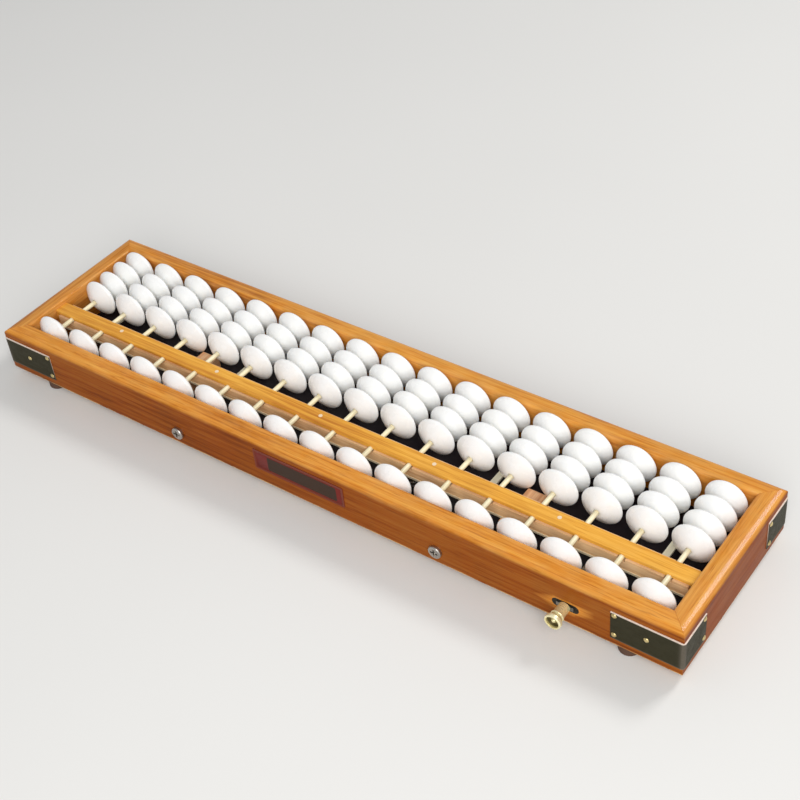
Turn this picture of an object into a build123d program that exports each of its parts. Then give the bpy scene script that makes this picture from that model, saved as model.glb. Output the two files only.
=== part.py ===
from build123d import *
import math
import os

os.makedirs("parts", exist_ok=True)

# Seventeen-rod counting frame with one upper bead and four lower beads on each rod,
# and a pull knob that clears all the beads at once.
# +X runs along the frame, -Y points to the upper-bead side with the knob, +Z is up.
# The origin lies under the middle of the whole object's box, where the feet stand.
# Lengths are in millimetres.

# Rods and beads
rod_pitch = 21.0
rod_count = 17
rod_diameter = 2.3
rod_seat = 5.0
rod_cover = 4.55
bead_diameter = 19.5
bead_thickness = 9.74
bead_flat_radius = 2.5
bead_rim_width = 1.8
bead_rim_round = 0.7
bead_face_bulge = 0.25
lower_beads = 4

# Frame
rail_width = 9.5
frame_height = 24.2
top_round = 4.0
end_margin = 11.1
floor_thickness = 2.4
floor_rebate = 3.6
foot_height = 4.5

# Dividing beam
beam_width = 7.6
beam_drop = 2.55
lip_thickness = 1.9
core_thickness = 4.2
end_tab_length = 1.6
tenon_length = 3.0
tenon_width = 5.0
tenon_height = 8.0

# Clearing combs and carriers
clear_travel = 6.5
comb_thickness = 2.8
comb_height = 5.6
notch_width = 3.6
notch_depth = 1.8
carrier_thickness = 1.0
carrier_lip = 0.4

# Pull
pull_drop = 9.8
pull_bar_width = 8.0
pull_bar_thickness = 2.0
slot_length = 12.5
slot_height = 4.4
knob_length = 9.8
knob_body_diameter = 5.0
knob_flange_diameter = 8.4
knob_flange_thickness = 2.0

# Reversing levers
lever_arm = 20.0
lever_offset = 40.0
lever_thickness = 1.2
lever_hub_radius = 3.2
lever_end_radius = 2.2
lever_pin_radius = 1.0

# Clearances
fit_gap = 0.03
turn_gap = 0.05
slide_gap = 0.1
bead_gap = 0.05
part_gap = 0.3

# One overrun for every cut that passes right through
overrun = 2.0

# Heights, counted from the feet's underside
wood_bottom = foot_height
frame_top = wood_bottom + frame_height
floor_top = wood_bottom + floor_thickness
rod_z = frame_top - rod_cover
rod_radius = rod_diameter / 2
bead_radius = bead_diameter / 2
bead_bore_radius = rod_radius + slide_gap
beam_top = frame_top - beam_drop
lip_bottom = beam_top - lip_thickness
comb_top = lip_bottom - part_gap
comb_bottom = comb_top - comb_height
carrier_bottom = comb_bottom - carrier_thickness
core_bottom = comb_bottom + part_gap
pull_z = rod_z - pull_drop
bar_clearance = 0.35
bar_thickness = 1.0
bar_width = 3.2
bar_top = rod_z - bead_radius - bar_clearance
bar_bottom = bar_top - bar_thickness

# Distances along Y, built up from the front rail to the back rail
upper_room = slide_gap + bead_thickness + clear_travel + bead_gap
lower_stack = lower_beads * bead_thickness + (lower_beads - 1) * bead_gap
lower_room = bead_gap + clear_travel + lower_stack + slide_gap
comb_room = comb_thickness + part_gap
inner_depth = upper_room + comb_room + core_thickness + comb_room + lower_room
inner_length = (rod_count - 1) * rod_pitch + 2 * end_margin
frame_depth = inner_depth + 2 * rail_width
frame_length = inner_length + 2 * rail_width

# What stands out past the wood at the front and at the back
plate_thickness = 0.5
nail_head_height = 0.6
screw_head_height = 1.7
knob_stand_off = 0.5
front_reach = knob_stand_off + knob_length
back_reach = screw_head_height
front_y = -(front_reach + frame_depth + back_reach) / 2 + front_reach
back_y = front_y + frame_depth
front_inner_y = front_y + rail_width
back_inner_y = back_y - rail_width
upper_bead_y = front_inner_y + slide_gap + bead_thickness / 2
upper_face_y = front_inner_y + upper_room
upper_comb_back_y = upper_face_y + comb_thickness
core_front_y = upper_comb_back_y + part_gap
core_back_y = core_front_y + core_thickness
lower_comb_front_y = core_back_y + part_gap
lower_face_y = lower_comb_front_y + comb_thickness
core_mid_y = (core_front_y + core_back_y) / 2
beam_shift = 0.45
beam_mid_y = core_mid_y - beam_shift
half_length = frame_length / 2
half_inner = inner_length / 2
middle_y = (front_y + back_y) / 2

rod_places = [(k - (rod_count - 1) / 2) * rod_pitch for k in range(rod_count)]
lower_bead_places = [
    back_inner_y - slide_gap - bead_thickness / 2 - k * (bead_thickness + bead_gap)
    for k in range(lower_beads)
]

# Places along the frame that fall midway between two rods, counted in rod spaces
unit_dot_shares = (-6.5, -3.5, -0.5, 2.5, 5.5)
screwed_bar_shares = (-3.5, 3.5)
housed_bar_shares = (-7.5, 7.5)
block_shares = (-4.5, 4.5)
pull_share = 6.5
pull_x = pull_share * rod_pitch
screwed_bar_places = [share * rod_pitch for share in screwed_bar_shares]
housed_bar_places = [share * rod_pitch for share in housed_bar_shares]
block_places = [share * rod_pitch for share in block_shares]

# Cross bars: flat strips under the beads that the two carriers ride on
bar_flange_gap = 2.05
bar_flange_width = 5.0
bar_flange_bottom = floor_top + bar_flange_gap
bar_pocket = 3.0
bar_screw_z = (bar_top + bar_flange_bottom) / 2

# Screws through the long rails into the bars' flanges
screw_head_diameter = 6.5
screw_shank_diameter = 2.8
screw_recess_width = 0.9
screw_recess_length = 3.8
screw_recess_depth = 1.0

# Corner plates and their nails
plate_long_leg = 31.5
plate_short_leg = 18.0
plate_rise = 4.8
plate_margin = 5.0
plate_height = frame_height - plate_rise - plate_margin
nail_head_diameter = 2.4
nail_shank_diameter = 1.0
nail_length = 4.0
nail_margin = 1.6

# Nail places on one plate: distance from the frame's corner, height on the plate
long_nails = [
    (plate_long_leg - nail_margin, plate_height - nail_margin),
    (plate_long_leg - nail_margin, nail_margin),
    (plate_long_leg / 2, plate_height / 2),
]
short_nails = [
    (plate_short_leg - nail_margin, plate_height - nail_margin),
    (plate_short_leg - nail_margin, nail_margin),
]
corner_signs = [(sx, sy) for sx in (-1, 1) for sy in (-1, 1)]

# Beam details
tab_bottom = bar_top
lip_round = 0.5
tenon_bottom = (tab_bottom + beam_top - tenon_height) / 2
unit_dot_diameter = 1.9
unit_dot_depth = 0.9
unit_dot_rise = 0.1
unit_dot_shift = 0.5
unit_dot_y = beam_mid_y + unit_dot_shift
unit_dot_places = [share * rod_pitch for share in unit_dot_shares]

# Carrier details
bar_places = sorted(screwed_bar_places + housed_bar_places)
carrier_top = comb_bottom
comb_half_length = half_inner - end_tab_length - 2 * part_gap
fork_wall = 1.0
fork_thickness = 1.2
fork_bottom = bar_bottom
lever_gap = 0.7
lever_top = carrier_bottom - lever_gap
lever_bottom = lever_top - lever_thickness
tab_width = 7.6
tab_wall = 0.9
pin_slot_width = 2 * (lever_pin_radius + slide_gap)
tab_reach = pin_slot_width / 2 + tab_wall
lever_swing = math.asin(clear_travel / lever_arm)
pin_side_shift = lever_arm * (1 - math.cos(lever_swing))
pin_slot_length = pin_slot_width + 2 * (pin_side_shift + slide_gap)
pull_stub_radius = 1.0
pull_stub_y = (upper_face_y + upper_comb_back_y) / 2

# Guide block details
block_width = 9.4
block_front_reach = 2.0
block_back_reach = 12.5
block_back_rise = 1.65
block_back_top = rod_z - bead_radius + block_back_rise
block_chamfer = 1.0

# Knob and liner details
knob_shank_radius = 0.6
knob_shank_length = 4.0
knob_flare = 0.3
knob_base_rim = 0.7
knob_rim = 0.6
knob_dish = 0.5
liner_thickness = 0.8

# Pivot and return spring details
pivot_neck_radius = 1.5
pivot_shoulder_radius = 2.5
pivot_head_height = 0.5
spring_wire_radius = 0.3
spring_turns = 3
spring_radius = pivot_shoulder_radius + part_gap + spring_wire_radius
spring_bottom = floor_top + 2 * part_gap + spring_wire_radius
spring_height = lever_bottom - 2 * part_gap - spring_wire_radius - spring_bottom
spring_tail = 5.0

# Label plate and screw head details
label_length = 51.0
label_rise = 8.0
label_margin = 4.5
label_height = frame_height - label_rise - label_margin
label_corner = 0.8
label_thickness = 0.4
screw_head_round = 0.7

# Feet and the screws underneath
foot_diameter = 9.4
foot_inset_x = 25.6
foot_inset_y = 5.0
foot_round = 0.8
foot_screw_radius = 0.8
foot_screw_head_radius = 2.0
foot_recess = 2.0
foot_screw_length = 8.0
foot_places = [
    (sx * (half_length - foot_inset_x), middle_y + sy * (frame_depth / 2 - foot_inset_y))
    for sx, sy in corner_signs
]
floor_screw_radius = 0.8
floor_screw_head_radius = 1.5
floor_screw_head_height = 0.8
floor_screw_length = 6.5
floor_screw_inset = 1.8
floor_screw_shares = (-0.6, -0.2, 0.2, 0.6)
board_half_length = half_inner + floor_rebate - slide_gap
board_half_depth = inner_depth / 2 + floor_rebate - slide_gap
floor_screw_places = [
    (share * half_inner, middle_y + sy * (board_half_depth - floor_screw_inset))
    for share in floor_screw_shares
    for sy in (-1, 1)
]


def box_between(x0, x1, y0, y1, z0, z1, mode=Mode.ADD):
    """Add or cut a block that fills the space between the given limits."""
    with BuildSketch(Plane(((x0 + x1) / 2, (y0 + y1) / 2, z0))) as outline:
        Rectangle(x1 - x0, y1 - y0)
    extrude(outline.sketch, amount=z1 - z0, mode=mode)


def rod_along_y(x, z, radius, y0, y1, mode=Mode.ADD):
    """Add or cut a round bar that runs along Y."""
    with BuildSketch(Plane((x, y0, z), x_dir=(1, 0, 0), z_dir=(0, 1, 0))) as outline:
        Circle(radius)
    extrude(outline.sketch, amount=y1 - y0, mode=mode)


def rod_along_x(y, z, radius, x0, x1, mode=Mode.ADD):
    """Add or cut a round bar that runs along X."""
    with BuildSketch(Plane((x0, y, z), x_dir=(0, 1, 0), z_dir=(1, 0, 0))) as outline:
        Circle(radius)
    extrude(outline.sketch, amount=x1 - x0, mode=mode)


def rod_along_z(x, y, radius, z0, z1, mode=Mode.ADD):
    """Add or cut an upright round bar."""
    with BuildSketch(Plane((x, y, z0))) as outline:
        Circle(radius)
    extrude(outline.sketch, amount=z1 - z0, mode=mode)


def nail_holes(sx, sy, radius):
    """Cut the holes of one corner's nails."""
    for reach, rise in long_nails:
        x = sx * (half_length - reach)
        z = wood_bottom + plate_rise + rise
        face = middle_y + sy * frame_depth / 2
        depth = sy * (nail_length + fit_gap)
        y0, y1 = sorted((face - depth, face + sy * overrun))
        rod_along_y(x, z, radius, y0, y1, mode=Mode.SUBTRACT)
    for reach, rise in short_nails:
        y = middle_y + sy * (frame_depth / 2 - reach)
        z = wood_bottom + plate_rise + rise
        face = sx * half_length
        depth = sx * (nail_length + fit_gap)
        x0, x1 = sorted((face - depth, face + sx * overrun))
        rod_along_x(y, z, radius, x0, x1, mode=Mode.SUBTRACT)


def screw_holes():
    """Cut the holes of the screws that come up from underneath."""
    for x, y in foot_places:
        top = wood_bottom + foot_screw_length
        rod_along_z(x, y, foot_screw_radius + fit_gap, 0, top, mode=Mode.SUBTRACT)
    for x, y in floor_screw_places:
        top = wood_bottom + floor_screw_length
        rod_along_z(x, y, floor_screw_radius + fit_gap, 0, top, mode=Mode.SUBTRACT)


def rail_section(plane, width_sign):
    """Draw a rail's section on a plane: outer face at zero, inner face at the rail's width."""
    inner = width_sign * rail_width
    with BuildSketch(plane) as section:
        with BuildLine():
            Polyline(
                (width_sign * top_round, frame_top),
                (inner, frame_top),
                (inner, floor_top),
                (inner - width_sign * floor_rebate, floor_top),
                (inner - width_sign * floor_rebate, wood_bottom),
                (0, wood_bottom),
                (0, frame_top - top_round),
            )
            RadiusArc(
                (0, frame_top - top_round),
                (width_sign * top_round, frame_top),
                width_sign * top_round,
            )
        make_face()
    return section.sketch


def mitre(sx, sy, keep):
    """Cut a rail on the slanting plane through one corner of the frame."""
    corner = (sx * half_length, middle_y + sy * frame_depth / 2, 0)
    split(bisect_by=Plane(corner, z_dir=(sx, -sy, 0)), keep=keep)


# Long rails: each has blind holes for the rods, a pocket for each housed bar and screw holes
with BuildPart() as front_rail:
    along_x = Plane((0, front_y, 0), x_dir=(0, 1, 0), z_dir=(1, 0, 0))
    extrude(rail_section(along_x, 1), amount=half_length, both=True)
    mitre(-1, -1, Keep.BOTTOM)
    mitre(1, -1, Keep.BOTTOM)
    for x in rod_places:
        seat = front_inner_y - rod_seat - fit_gap
        rod_along_y(x, rod_z, rod_radius + fit_gap, seat, front_inner_y + overrun, Mode.SUBTRACT)
    for x in housed_bar_places:
        half = bar_width / 2 + fit_gap
        box_between(
            x - half, x + half, front_inner_y - bar_pocket, front_inner_y + overrun,
            bar_bottom - fit_gap, bar_top + fit_gap, Mode.SUBTRACT,
        )
    for x in screwed_bar_places:
        hole = screw_shank_diameter / 2 + fit_gap
        rod_along_y(x, bar_screw_z, hole, front_y - overrun, front_inner_y + overrun, Mode.SUBTRACT)
    with BuildSketch(Plane((pull_x, front_y - overrun, pull_z), x_dir=(1, 0, 0), z_dir=(0, 1, 0))):
        SlotOverall(slot_length, slot_height)
    extrude(amount=rail_width + 2 * overrun, mode=Mode.SUBTRACT)
    for sx in (-1, 1):
        nail_holes(sx, -1, nail_shank_diameter / 2 + fit_gap)
    screw_holes()
front_rail.part.label = "front_rail"
export_step(front_rail.part, "parts/front_rail.step")

with BuildPart() as back_rail:
    along_x = Plane((0, back_y, 0), x_dir=(0, 1, 0), z_dir=(1, 0, 0))
    extrude(rail_section(along_x, -1), amount=half_length, both=True)
    mitre(-1, 1, Keep.BOTTOM)
    mitre(1, 1, Keep.BOTTOM)
    for x in rod_places:
        seat = back_inner_y + rod_seat + fit_gap
        rod_along_y(x, rod_z, rod_radius + fit_gap, back_inner_y - overrun, seat, Mode.SUBTRACT)
    for x in housed_bar_places:
        half = bar_width / 2 + fit_gap
        box_between(
            x - half, x + half, back_inner_y - overrun, back_inner_y + bar_pocket,
            bar_bottom - fit_gap, bar_top + fit_gap, Mode.SUBTRACT,
        )
    for x in screwed_bar_places:
        hole = screw_shank_diameter / 2 + fit_gap
        rod_along_y(x, bar_screw_z, hole, back_inner_y - overrun, back_y + overrun, Mode.SUBTRACT)
    for sx in (-1, 1):
        nail_holes(sx, 1, nail_shank_diameter / 2 + fit_gap)
    screw_holes()
back_rail.part.label = "back_rail"
export_step(back_rail.part, "parts/back_rail.step")


def end_rail(sx):
    """Make one end rail with the mortise that takes the beam's tenon."""
    with BuildPart() as rail:
        along_y = Plane((sx * half_length, middle_y, 0), x_dir=(1, 0, 0), z_dir=(0, -1, 0))
        extrude(rail_section(along_y, -sx), amount=frame_depth / 2, both=True)
        mitre(sx, -1, Keep.TOP)
        mitre(sx, 1, Keep.TOP)
        x0, x1 = sorted((sx * (half_inner - overrun), sx * (half_inner + tenon_length + fit_gap)))
        half = tenon_width / 2 + fit_gap
        low = tenon_bottom - fit_gap
        high = tenon_bottom + tenon_height + fit_gap
        box_between(x0, x1, beam_mid_y - half, beam_mid_y + half, low, high, Mode.SUBTRACT)
        for sy in (-1, 1):
            nail_holes(sx, sy, nail_shank_diameter / 2 + fit_gap)
        screw_holes()
    return rail.part


left_end_rail = end_rail(-1)
left_end_rail.label = "left_end_rail"
export_step(left_end_rail, "parts/left_end_rail.step")

right_end_rail = end_rail(1)
right_end_rail.label = "right_end_rail"
export_step(right_end_rail, "parts/right_end_rail.step")

# Floor board, let into the rails' rebate
with BuildPart() as floor_board:
    with BuildSketch(Plane((0, middle_y, wood_bottom))):
        Rectangle(2 * board_half_length, 2 * board_half_depth)
    extrude(amount=floor_thickness)
    screw_holes()
    for x, y in floor_screw_places:
        head = floor_screw_head_radius + fit_gap
        top = wood_bottom + floor_screw_head_height
        rod_along_z(x, y, head, wood_bottom, top, mode=Mode.SUBTRACT)
floor_board.part.label = "floor_board"
export_step(floor_board.part, "parts/floor_board.step")

# Beam: a lip over a thinner core, a full-width tab at each end and a tenon in each end rail
with BuildPart() as beam:
    tab_inner = half_inner - end_tab_length
    lip_half = beam_width / 2
    box_between(
        -half_inner, half_inner, beam_mid_y - lip_half, beam_mid_y + lip_half,
        lip_bottom, beam_top,
    )
    box_between(-half_inner, half_inner, core_front_y, core_back_y, core_bottom, lip_bottom)
    for sx in (-1, 1):
        x0, x1 = sorted((sx * tab_inner, sx * half_inner))
        box_between(
            x0, x1, beam_mid_y - lip_half, beam_mid_y + lip_half, tab_bottom, lip_bottom
        )
        x0, x1 = sorted((sx * half_inner, sx * (half_inner + tenon_length)))
        box_between(
            x0, x1, beam_mid_y - tenon_width / 2, beam_mid_y + tenon_width / 2,
            tenon_bottom, tenon_bottom + tenon_height,
        )
    lip_edges = [
        edge
        for edge in beam.edges().filter_by(Axis.X).group_by(Axis.Z)[-1]
        if edge.length > inner_length / 2
    ]
    fillet(lip_edges, radius=lip_round)
    for x in rod_places:
        rod_along_y(
            x, rod_z, rod_radius + fit_gap, beam_mid_y - beam_width, beam_mid_y + beam_width,
            Mode.SUBTRACT,
        )
    for x in unit_dot_places:
        rod_along_z(
            x, unit_dot_y, unit_dot_diameter / 2 + fit_gap, beam_top - unit_dot_depth,
            beam_top + overrun, Mode.SUBTRACT,
        )
beam.part.label = "beam"
export_step(beam.part, "parts/beam.step")

# Unit dots: small pale pins let into the beam's top
with BuildPart() as unit_dots:
    for x in unit_dot_places:
        rod_along_z(
            x, unit_dot_y, unit_dot_diameter / 2, beam_top - unit_dot_depth,
            beam_top + unit_dot_rise,
        )
unit_dots.part.label = "unit_dots"
export_step(unit_dots.part, "parts/unit_dots.step")

# Rods: each runs through the beam and is seated in both long rails
with BuildPart() as rods:
    for x in rod_places:
        rod_along_y(x, rod_z, rod_radius, front_inner_y - rod_seat, back_inner_y + rod_seat)
rods.part.label = "rods"
export_step(rods.part, "parts/rods.step")


def bead(x, y):
    """Add one bead: two shallow cones with a rounded rim, bored along Y."""
    rim_start = bead_radius - bead_rim_round
    half_rim = bead_rim_width / 2
    half_body = bead_thickness / 2
    mid_radius = (bead_flat_radius + rim_start) / 2
    mid_height = (half_body + half_rim) / 2
    run = rim_start - bead_flat_radius
    fall = half_body - half_rim
    slope = math.hypot(run, fall)
    bulge_out = bead_face_bulge * fall / slope
    bulge_up = bead_face_bulge * run / slope
    with BuildSketch(Plane((x, y, rod_z), x_dir=(1, 0, 0), z_dir=(0, 0, 1))) as section:
        with BuildLine():
            Polyline(
                (bead_flat_radius, half_body),
                (bead_bore_radius, half_body),
                (bead_bore_radius, -half_body),
                (bead_flat_radius, -half_body),
            )
            ThreePointArc(
                (bead_flat_radius, -half_body),
                (mid_radius + bulge_out, -mid_height - bulge_up),
                (rim_start, -half_rim),
            )
            ThreePointArc((rim_start, -half_rim), (bead_radius, 0), (rim_start, half_rim))
            ThreePointArc(
                (rim_start, half_rim),
                (mid_radius + bulge_out, mid_height + bulge_up),
                (bead_flat_radius, half_body),
            )
        make_face()
    revolve(section.sketch, axis=Axis((x, y, rod_z), (0, 1, 0)))


# Upper beads: one on each rod, resting against the front rail
for index, x in enumerate(rod_places, start=1):
    with BuildPart() as upper_bead:
        bead(x, upper_bead_y)
    upper_bead.part.label = f"upper_bead_{index:02d}"
    export_step(upper_bead.part, f"parts/upper_bead_{index:02d}.step")

# Lower beads: four on each rod, resting against the back rail
for index, x in enumerate(rod_places, start=1):
    with BuildPart() as bead_row:
        for y in lower_bead_places:
            bead(x, y)
    bead_row.part.label = f"lower_beads_{index:02d}"
    export_step(bead_row.part, f"parts/lower_beads_{index:02d}.step")


def comb(y0, y1):
    """Add a notched board that straddles every rod."""
    box_between(-comb_half_length, comb_half_length, y0, y1, comb_bottom, comb_top)
    low, high = sorted((y0, y1))
    for x in rod_places:
        box_between(
            x - notch_width / 2, x + notch_width / 2, low - overrun, high + overrun,
            rod_z - notch_depth, comb_top + overrun, Mode.SUBTRACT,
        )


# Upper comb: pushes the upper beads back to the front rail
with BuildPart() as upper_comb:
    comb(upper_face_y, upper_comb_back_y)
upper_comb.part.label = "upper_comb"
export_step(upper_comb.part, "parts/upper_comb.step")

# Lower comb: pushes the lower beads back to the back rail
with BuildPart() as lower_comb:
    comb(lower_comb_front_y, lower_face_y)
lower_comb.part.label = "lower_comb"
export_step(lower_comb.part, "parts/lower_comb.step")


def guide_fork(x, y0, y1):
    """Add a fork that hangs from a carrier and straddles one cross bar."""
    outer = bar_width / 2 + slide_gap + fork_wall
    inner = bar_width / 2 + slide_gap
    low, high = sorted((y0, y1))
    box_between(x - outer, x + outer, low, high, fork_bottom, carrier_bottom)
    box_between(
        x - inner, x + inner, low - overrun, high + overrun,
        fork_bottom - overrun, bar_top + slide_gap, Mode.SUBTRACT,
    )


def lever_tab(x, y0, y1, slot_y):
    """Add a tab with the slot that takes a lever's pin."""
    low, high = sorted((y0, y1))
    box_between(
        x - tab_width / 2, x + tab_width / 2, low, high, carrier_bottom, carrier_top
    )
    with BuildSketch(Plane((x, slot_y, carrier_bottom - overrun))) as slot:
        SlotOverall(pin_slot_length, pin_slot_width)
    extrude(slot.sketch, amount=carrier_thickness + 2 * overrun, mode=Mode.SUBTRACT)


# Upper carrier: the strip under the upper comb, with forks, lever tabs and the pull's hole
with BuildPart() as upper_carrier:
    box_between(
        -comb_half_length, comb_half_length, upper_face_y - carrier_lip, upper_comb_back_y,
        carrier_bottom, carrier_top,
    )
    for x in bar_places:
        guide_fork(x, upper_comb_back_y - fork_thickness, upper_comb_back_y)
    for sx in (-1, 1):
        lever_tab(
            sx * (lever_offset - lever_arm), upper_comb_back_y, core_mid_y + tab_reach, core_mid_y
        )
    rod_along_z(
        pull_x, pull_stub_y, pull_stub_radius + fit_gap, carrier_bottom - overrun,
        carrier_top + overrun, Mode.SUBTRACT,
    )
upper_carrier.part.label = "upper_carrier"
export_step(upper_carrier.part, "parts/upper_carrier.step")

# Lower carrier: the strip under the lower comb, with forks and lever tabs
with BuildPart() as lower_carrier:
    box_between(
        -comb_half_length, comb_half_length, lower_comb_front_y, lower_face_y + carrier_lip,
        carrier_bottom, carrier_top,
    )
    for x in bar_places:
        guide_fork(x, lower_comb_front_y, lower_comb_front_y + fork_thickness)
    for sx in (-1, 1):
        lever_tab(
            sx * (lever_offset + lever_arm), lower_comb_front_y, core_mid_y - tab_reach, core_mid_y
        )
lower_carrier.part.label = "lower_carrier"
export_step(lower_carrier.part, "parts/lower_carrier.step")

# Cross bars: two screwed to the long rails by their flanges, two let into pockets
with BuildPart() as cross_bars:
    for x in screwed_bar_places:
        x0 = x - bar_width / 2
        x1 = x + bar_width / 2
        box_between(x0, x1, front_inner_y, back_inner_y, bar_bottom, bar_top)
        front_flange = front_inner_y + bar_thickness
        back_flange = back_inner_y - bar_thickness
        x0 = x - bar_flange_width / 2
        x1 = x + bar_flange_width / 2
        box_between(x0, x1, front_inner_y, front_flange, bar_flange_bottom, bar_top)
        box_between(x0, x1, back_flange, back_inner_y, bar_flange_bottom, bar_top)
        hole = screw_shank_diameter / 2 + fit_gap
        rod_along_y(x, bar_screw_z, hole, front_y, front_flange + overrun, Mode.SUBTRACT)
        rod_along_y(x, bar_screw_z, hole, back_flange - overrun, back_y, Mode.SUBTRACT)
    for x in housed_bar_places:
        x0 = x - bar_width / 2
        x1 = x + bar_width / 2
        y0 = front_inner_y - bar_pocket + fit_gap
        y1 = back_inner_y + bar_pocket - fit_gap
        box_between(x0, x1, y0, y1, bar_bottom, bar_top)
cross_bars.part.label = "cross_bars"
export_step(cross_bars.part, "parts/cross_bars.step")

# Guide blocks: they carry the middle of the beam and both carriers on the floor board
with BuildPart() as guide_blocks:
    for x in block_places:
        x0 = x - block_width / 2
        x1 = x + block_width / 2
        back_end = lower_face_y + block_back_reach
        front_end = upper_face_y - block_front_reach
        ledge = carrier_bottom - turn_gap
        side = Plane((x0, 0, 0), x_dir=(0, 1, 0), z_dir=(1, 0, 0))
        with BuildSketch(side) as outline:
            with BuildLine():
                Polyline(
                    (front_end, floor_top),
                    (back_end, floor_top),
                    (back_end, block_back_top - block_chamfer),
                    (back_end - block_chamfer, block_back_top),
                    (lower_face_y, block_back_top),
                    (lower_face_y, ledge),
                    (core_back_y, ledge),
                    (core_back_y, core_bottom),
                    (core_front_y, core_bottom),
                    (core_front_y, ledge),
                    (front_end, ledge),
                    close=True,
                )
            make_face()
        extrude(outline.sketch, amount=block_width)
guide_blocks.part.label = "guide_blocks"
export_step(guide_blocks.part, "parts/guide_blocks.step")

# Pull bar: a flat bar through the front rail with a stub riveted into the upper carrier
with BuildPart() as pull_bar:
    box_between(
        pull_x - pull_bar_width / 2, pull_x + pull_bar_width / 2,
        front_y - knob_stand_off, upper_comb_back_y,
        pull_z - pull_bar_thickness / 2, pull_z + pull_bar_thickness / 2,
    )
    bar_face = pull_z + pull_bar_thickness / 2
    rod_along_z(pull_x, pull_stub_y, 2 * pull_stub_radius, bar_face, carrier_bottom)
    rod_along_z(pull_x, pull_stub_y, pull_stub_radius, carrier_bottom, carrier_top)
    rod_along_y(
        pull_x, pull_z, knob_shank_radius + fit_gap, front_y - knob_stand_off - overrun,
        front_y - knob_stand_off + knob_shank_length + fit_gap, Mode.SUBTRACT,
    )
pull_bar.part.label = "pull_bar"
export_step(pull_bar.part, "parts/pull_bar.step")

# Pull knob: a turned spool with a hollowed end and a shank in the bar's end
with BuildPart() as pull_knob:
    base = front_y - knob_stand_off
    with BuildSketch(Plane((pull_x, base, pull_z), x_dir=(1, 0, 0), z_dir=(0, 0, 1))) as section:
        with BuildLine():
            body = knob_body_diameter / 2
            flange = knob_flange_diameter / 2
            neck = knob_length - knob_flange_thickness
            Polyline(
                (0, knob_shank_length),
                (knob_shank_radius, knob_shank_length),
                (knob_shank_radius, 0),
                (body + knob_flare, 0),
                (body + knob_flare, -knob_base_rim),
                (body, -knob_base_rim - knob_flare),
                (body, knob_flare - neck),
            )
            RadiusArc((body, knob_flare - neck), (body + knob_flare, -neck), -knob_flare)
            Polyline(
                (body + knob_flare, -neck),
                (flange, -neck),
                (flange, -knob_length),
                (flange - knob_rim, -knob_length),
                (flange - knob_rim - knob_dish, knob_dish - knob_length),
                (0, knob_dish - knob_length),
                (0, knob_shank_length),
            )
        make_face()
    revolve(section.sketch, axis=Axis((pull_x, base, pull_z), (0, 1, 0)))
pull_knob.part.label = "pull_knob"
export_step(pull_knob.part, "parts/pull_knob.step")

# Slot liner: a dark plate let into the front rail's slot, with the bar's window
with BuildPart() as slot_liner:
    with BuildSketch(Plane((pull_x, front_y, pull_z), x_dir=(1, 0, 0), z_dir=(0, 1, 0))):
        SlotOverall(slot_length - fit_gap, slot_height - fit_gap)
        Rectangle(
            pull_bar_width + 2 * slide_gap, pull_bar_thickness + 2 * slide_gap,
            mode=Mode.SUBTRACT,
        )
    extrude(amount=liner_thickness)
slot_liner.part.label = "slot_liner"
export_step(slot_liner.part, "parts/slot_liner.step")


def reversing_lever(sx):
    """Make one reversing lever: a flat strap with a hub hole and a pin at each end."""
    with BuildPart() as lever:
        x = sx * lever_offset
        with BuildSketch(Plane((x, core_mid_y, lever_bottom))):
            Circle(lever_hub_radius)
            Rectangle(2 * lever_arm, 2 * lever_end_radius)
            with Locations((-lever_arm, 0), (lever_arm, 0)):
                Circle(lever_end_radius)
            Circle(pivot_neck_radius + turn_gap, mode=Mode.SUBTRACT)
        extrude(amount=lever_thickness)
        for side in (-1, 1):
            rod_along_z(
                x + side * lever_arm, core_mid_y, lever_pin_radius, lever_top,
                carrier_top - slide_gap,
            )
    return lever.part


left_lever = reversing_lever(-1)
left_lever.label = "left_lever"
export_step(left_lever, "parts/left_lever.step")

right_lever = reversing_lever(1)
right_lever.label = "right_lever"
export_step(right_lever, "parts/right_lever.step")

# Lever pivots: shouldered studs riveted to the floor board
with BuildPart() as lever_pivots:
    for sx in (-1, 1):
        x = sx * lever_offset
        shoulder_top = lever_bottom - turn_gap
        head_bottom = lever_top + turn_gap
        rod_along_z(x, core_mid_y, pivot_shoulder_radius, floor_top, shoulder_top)
        rod_along_z(x, core_mid_y, pivot_neck_radius, shoulder_top, head_bottom)
        rod_along_z(
            x, core_mid_y, pivot_shoulder_radius, head_bottom, head_bottom + pivot_head_height
        )
lever_pivots.part.label = "lever_pivots"
export_step(lever_pivots.part, "parts/lever_pivots.step")


def biarc(start, end, start_way, end_way):
    """Return the joining point and the way there of two arcs that meet smoothly."""
    chord = end - start
    ways = start_way + end_way
    a = ways.dot(ways) - 4
    b = chord.dot(ways)
    reach = (b - math.sqrt(b * b - a * chord.dot(chord))) / a
    joint = (start + end + (start_way - end_way) * reach) * (1 / 2)
    return joint, joint - (start + start_way * reach)


def coil_point(x, turn_share):
    """Return a point of the coil's centre line and the way it runs there."""
    angle = 2 * math.pi * spring_turns * turn_share
    rise = spring_height * turn_share
    point = Vector(
        x + spring_radius * math.cos(angle),
        core_mid_y + spring_radius * math.sin(angle),
        spring_bottom + rise,
    )
    lead = spring_height / (2 * math.pi * spring_turns)
    way = Vector(-spring_radius * math.sin(angle), spring_radius * math.cos(angle), lead)
    return point, way.normalized()


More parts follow.
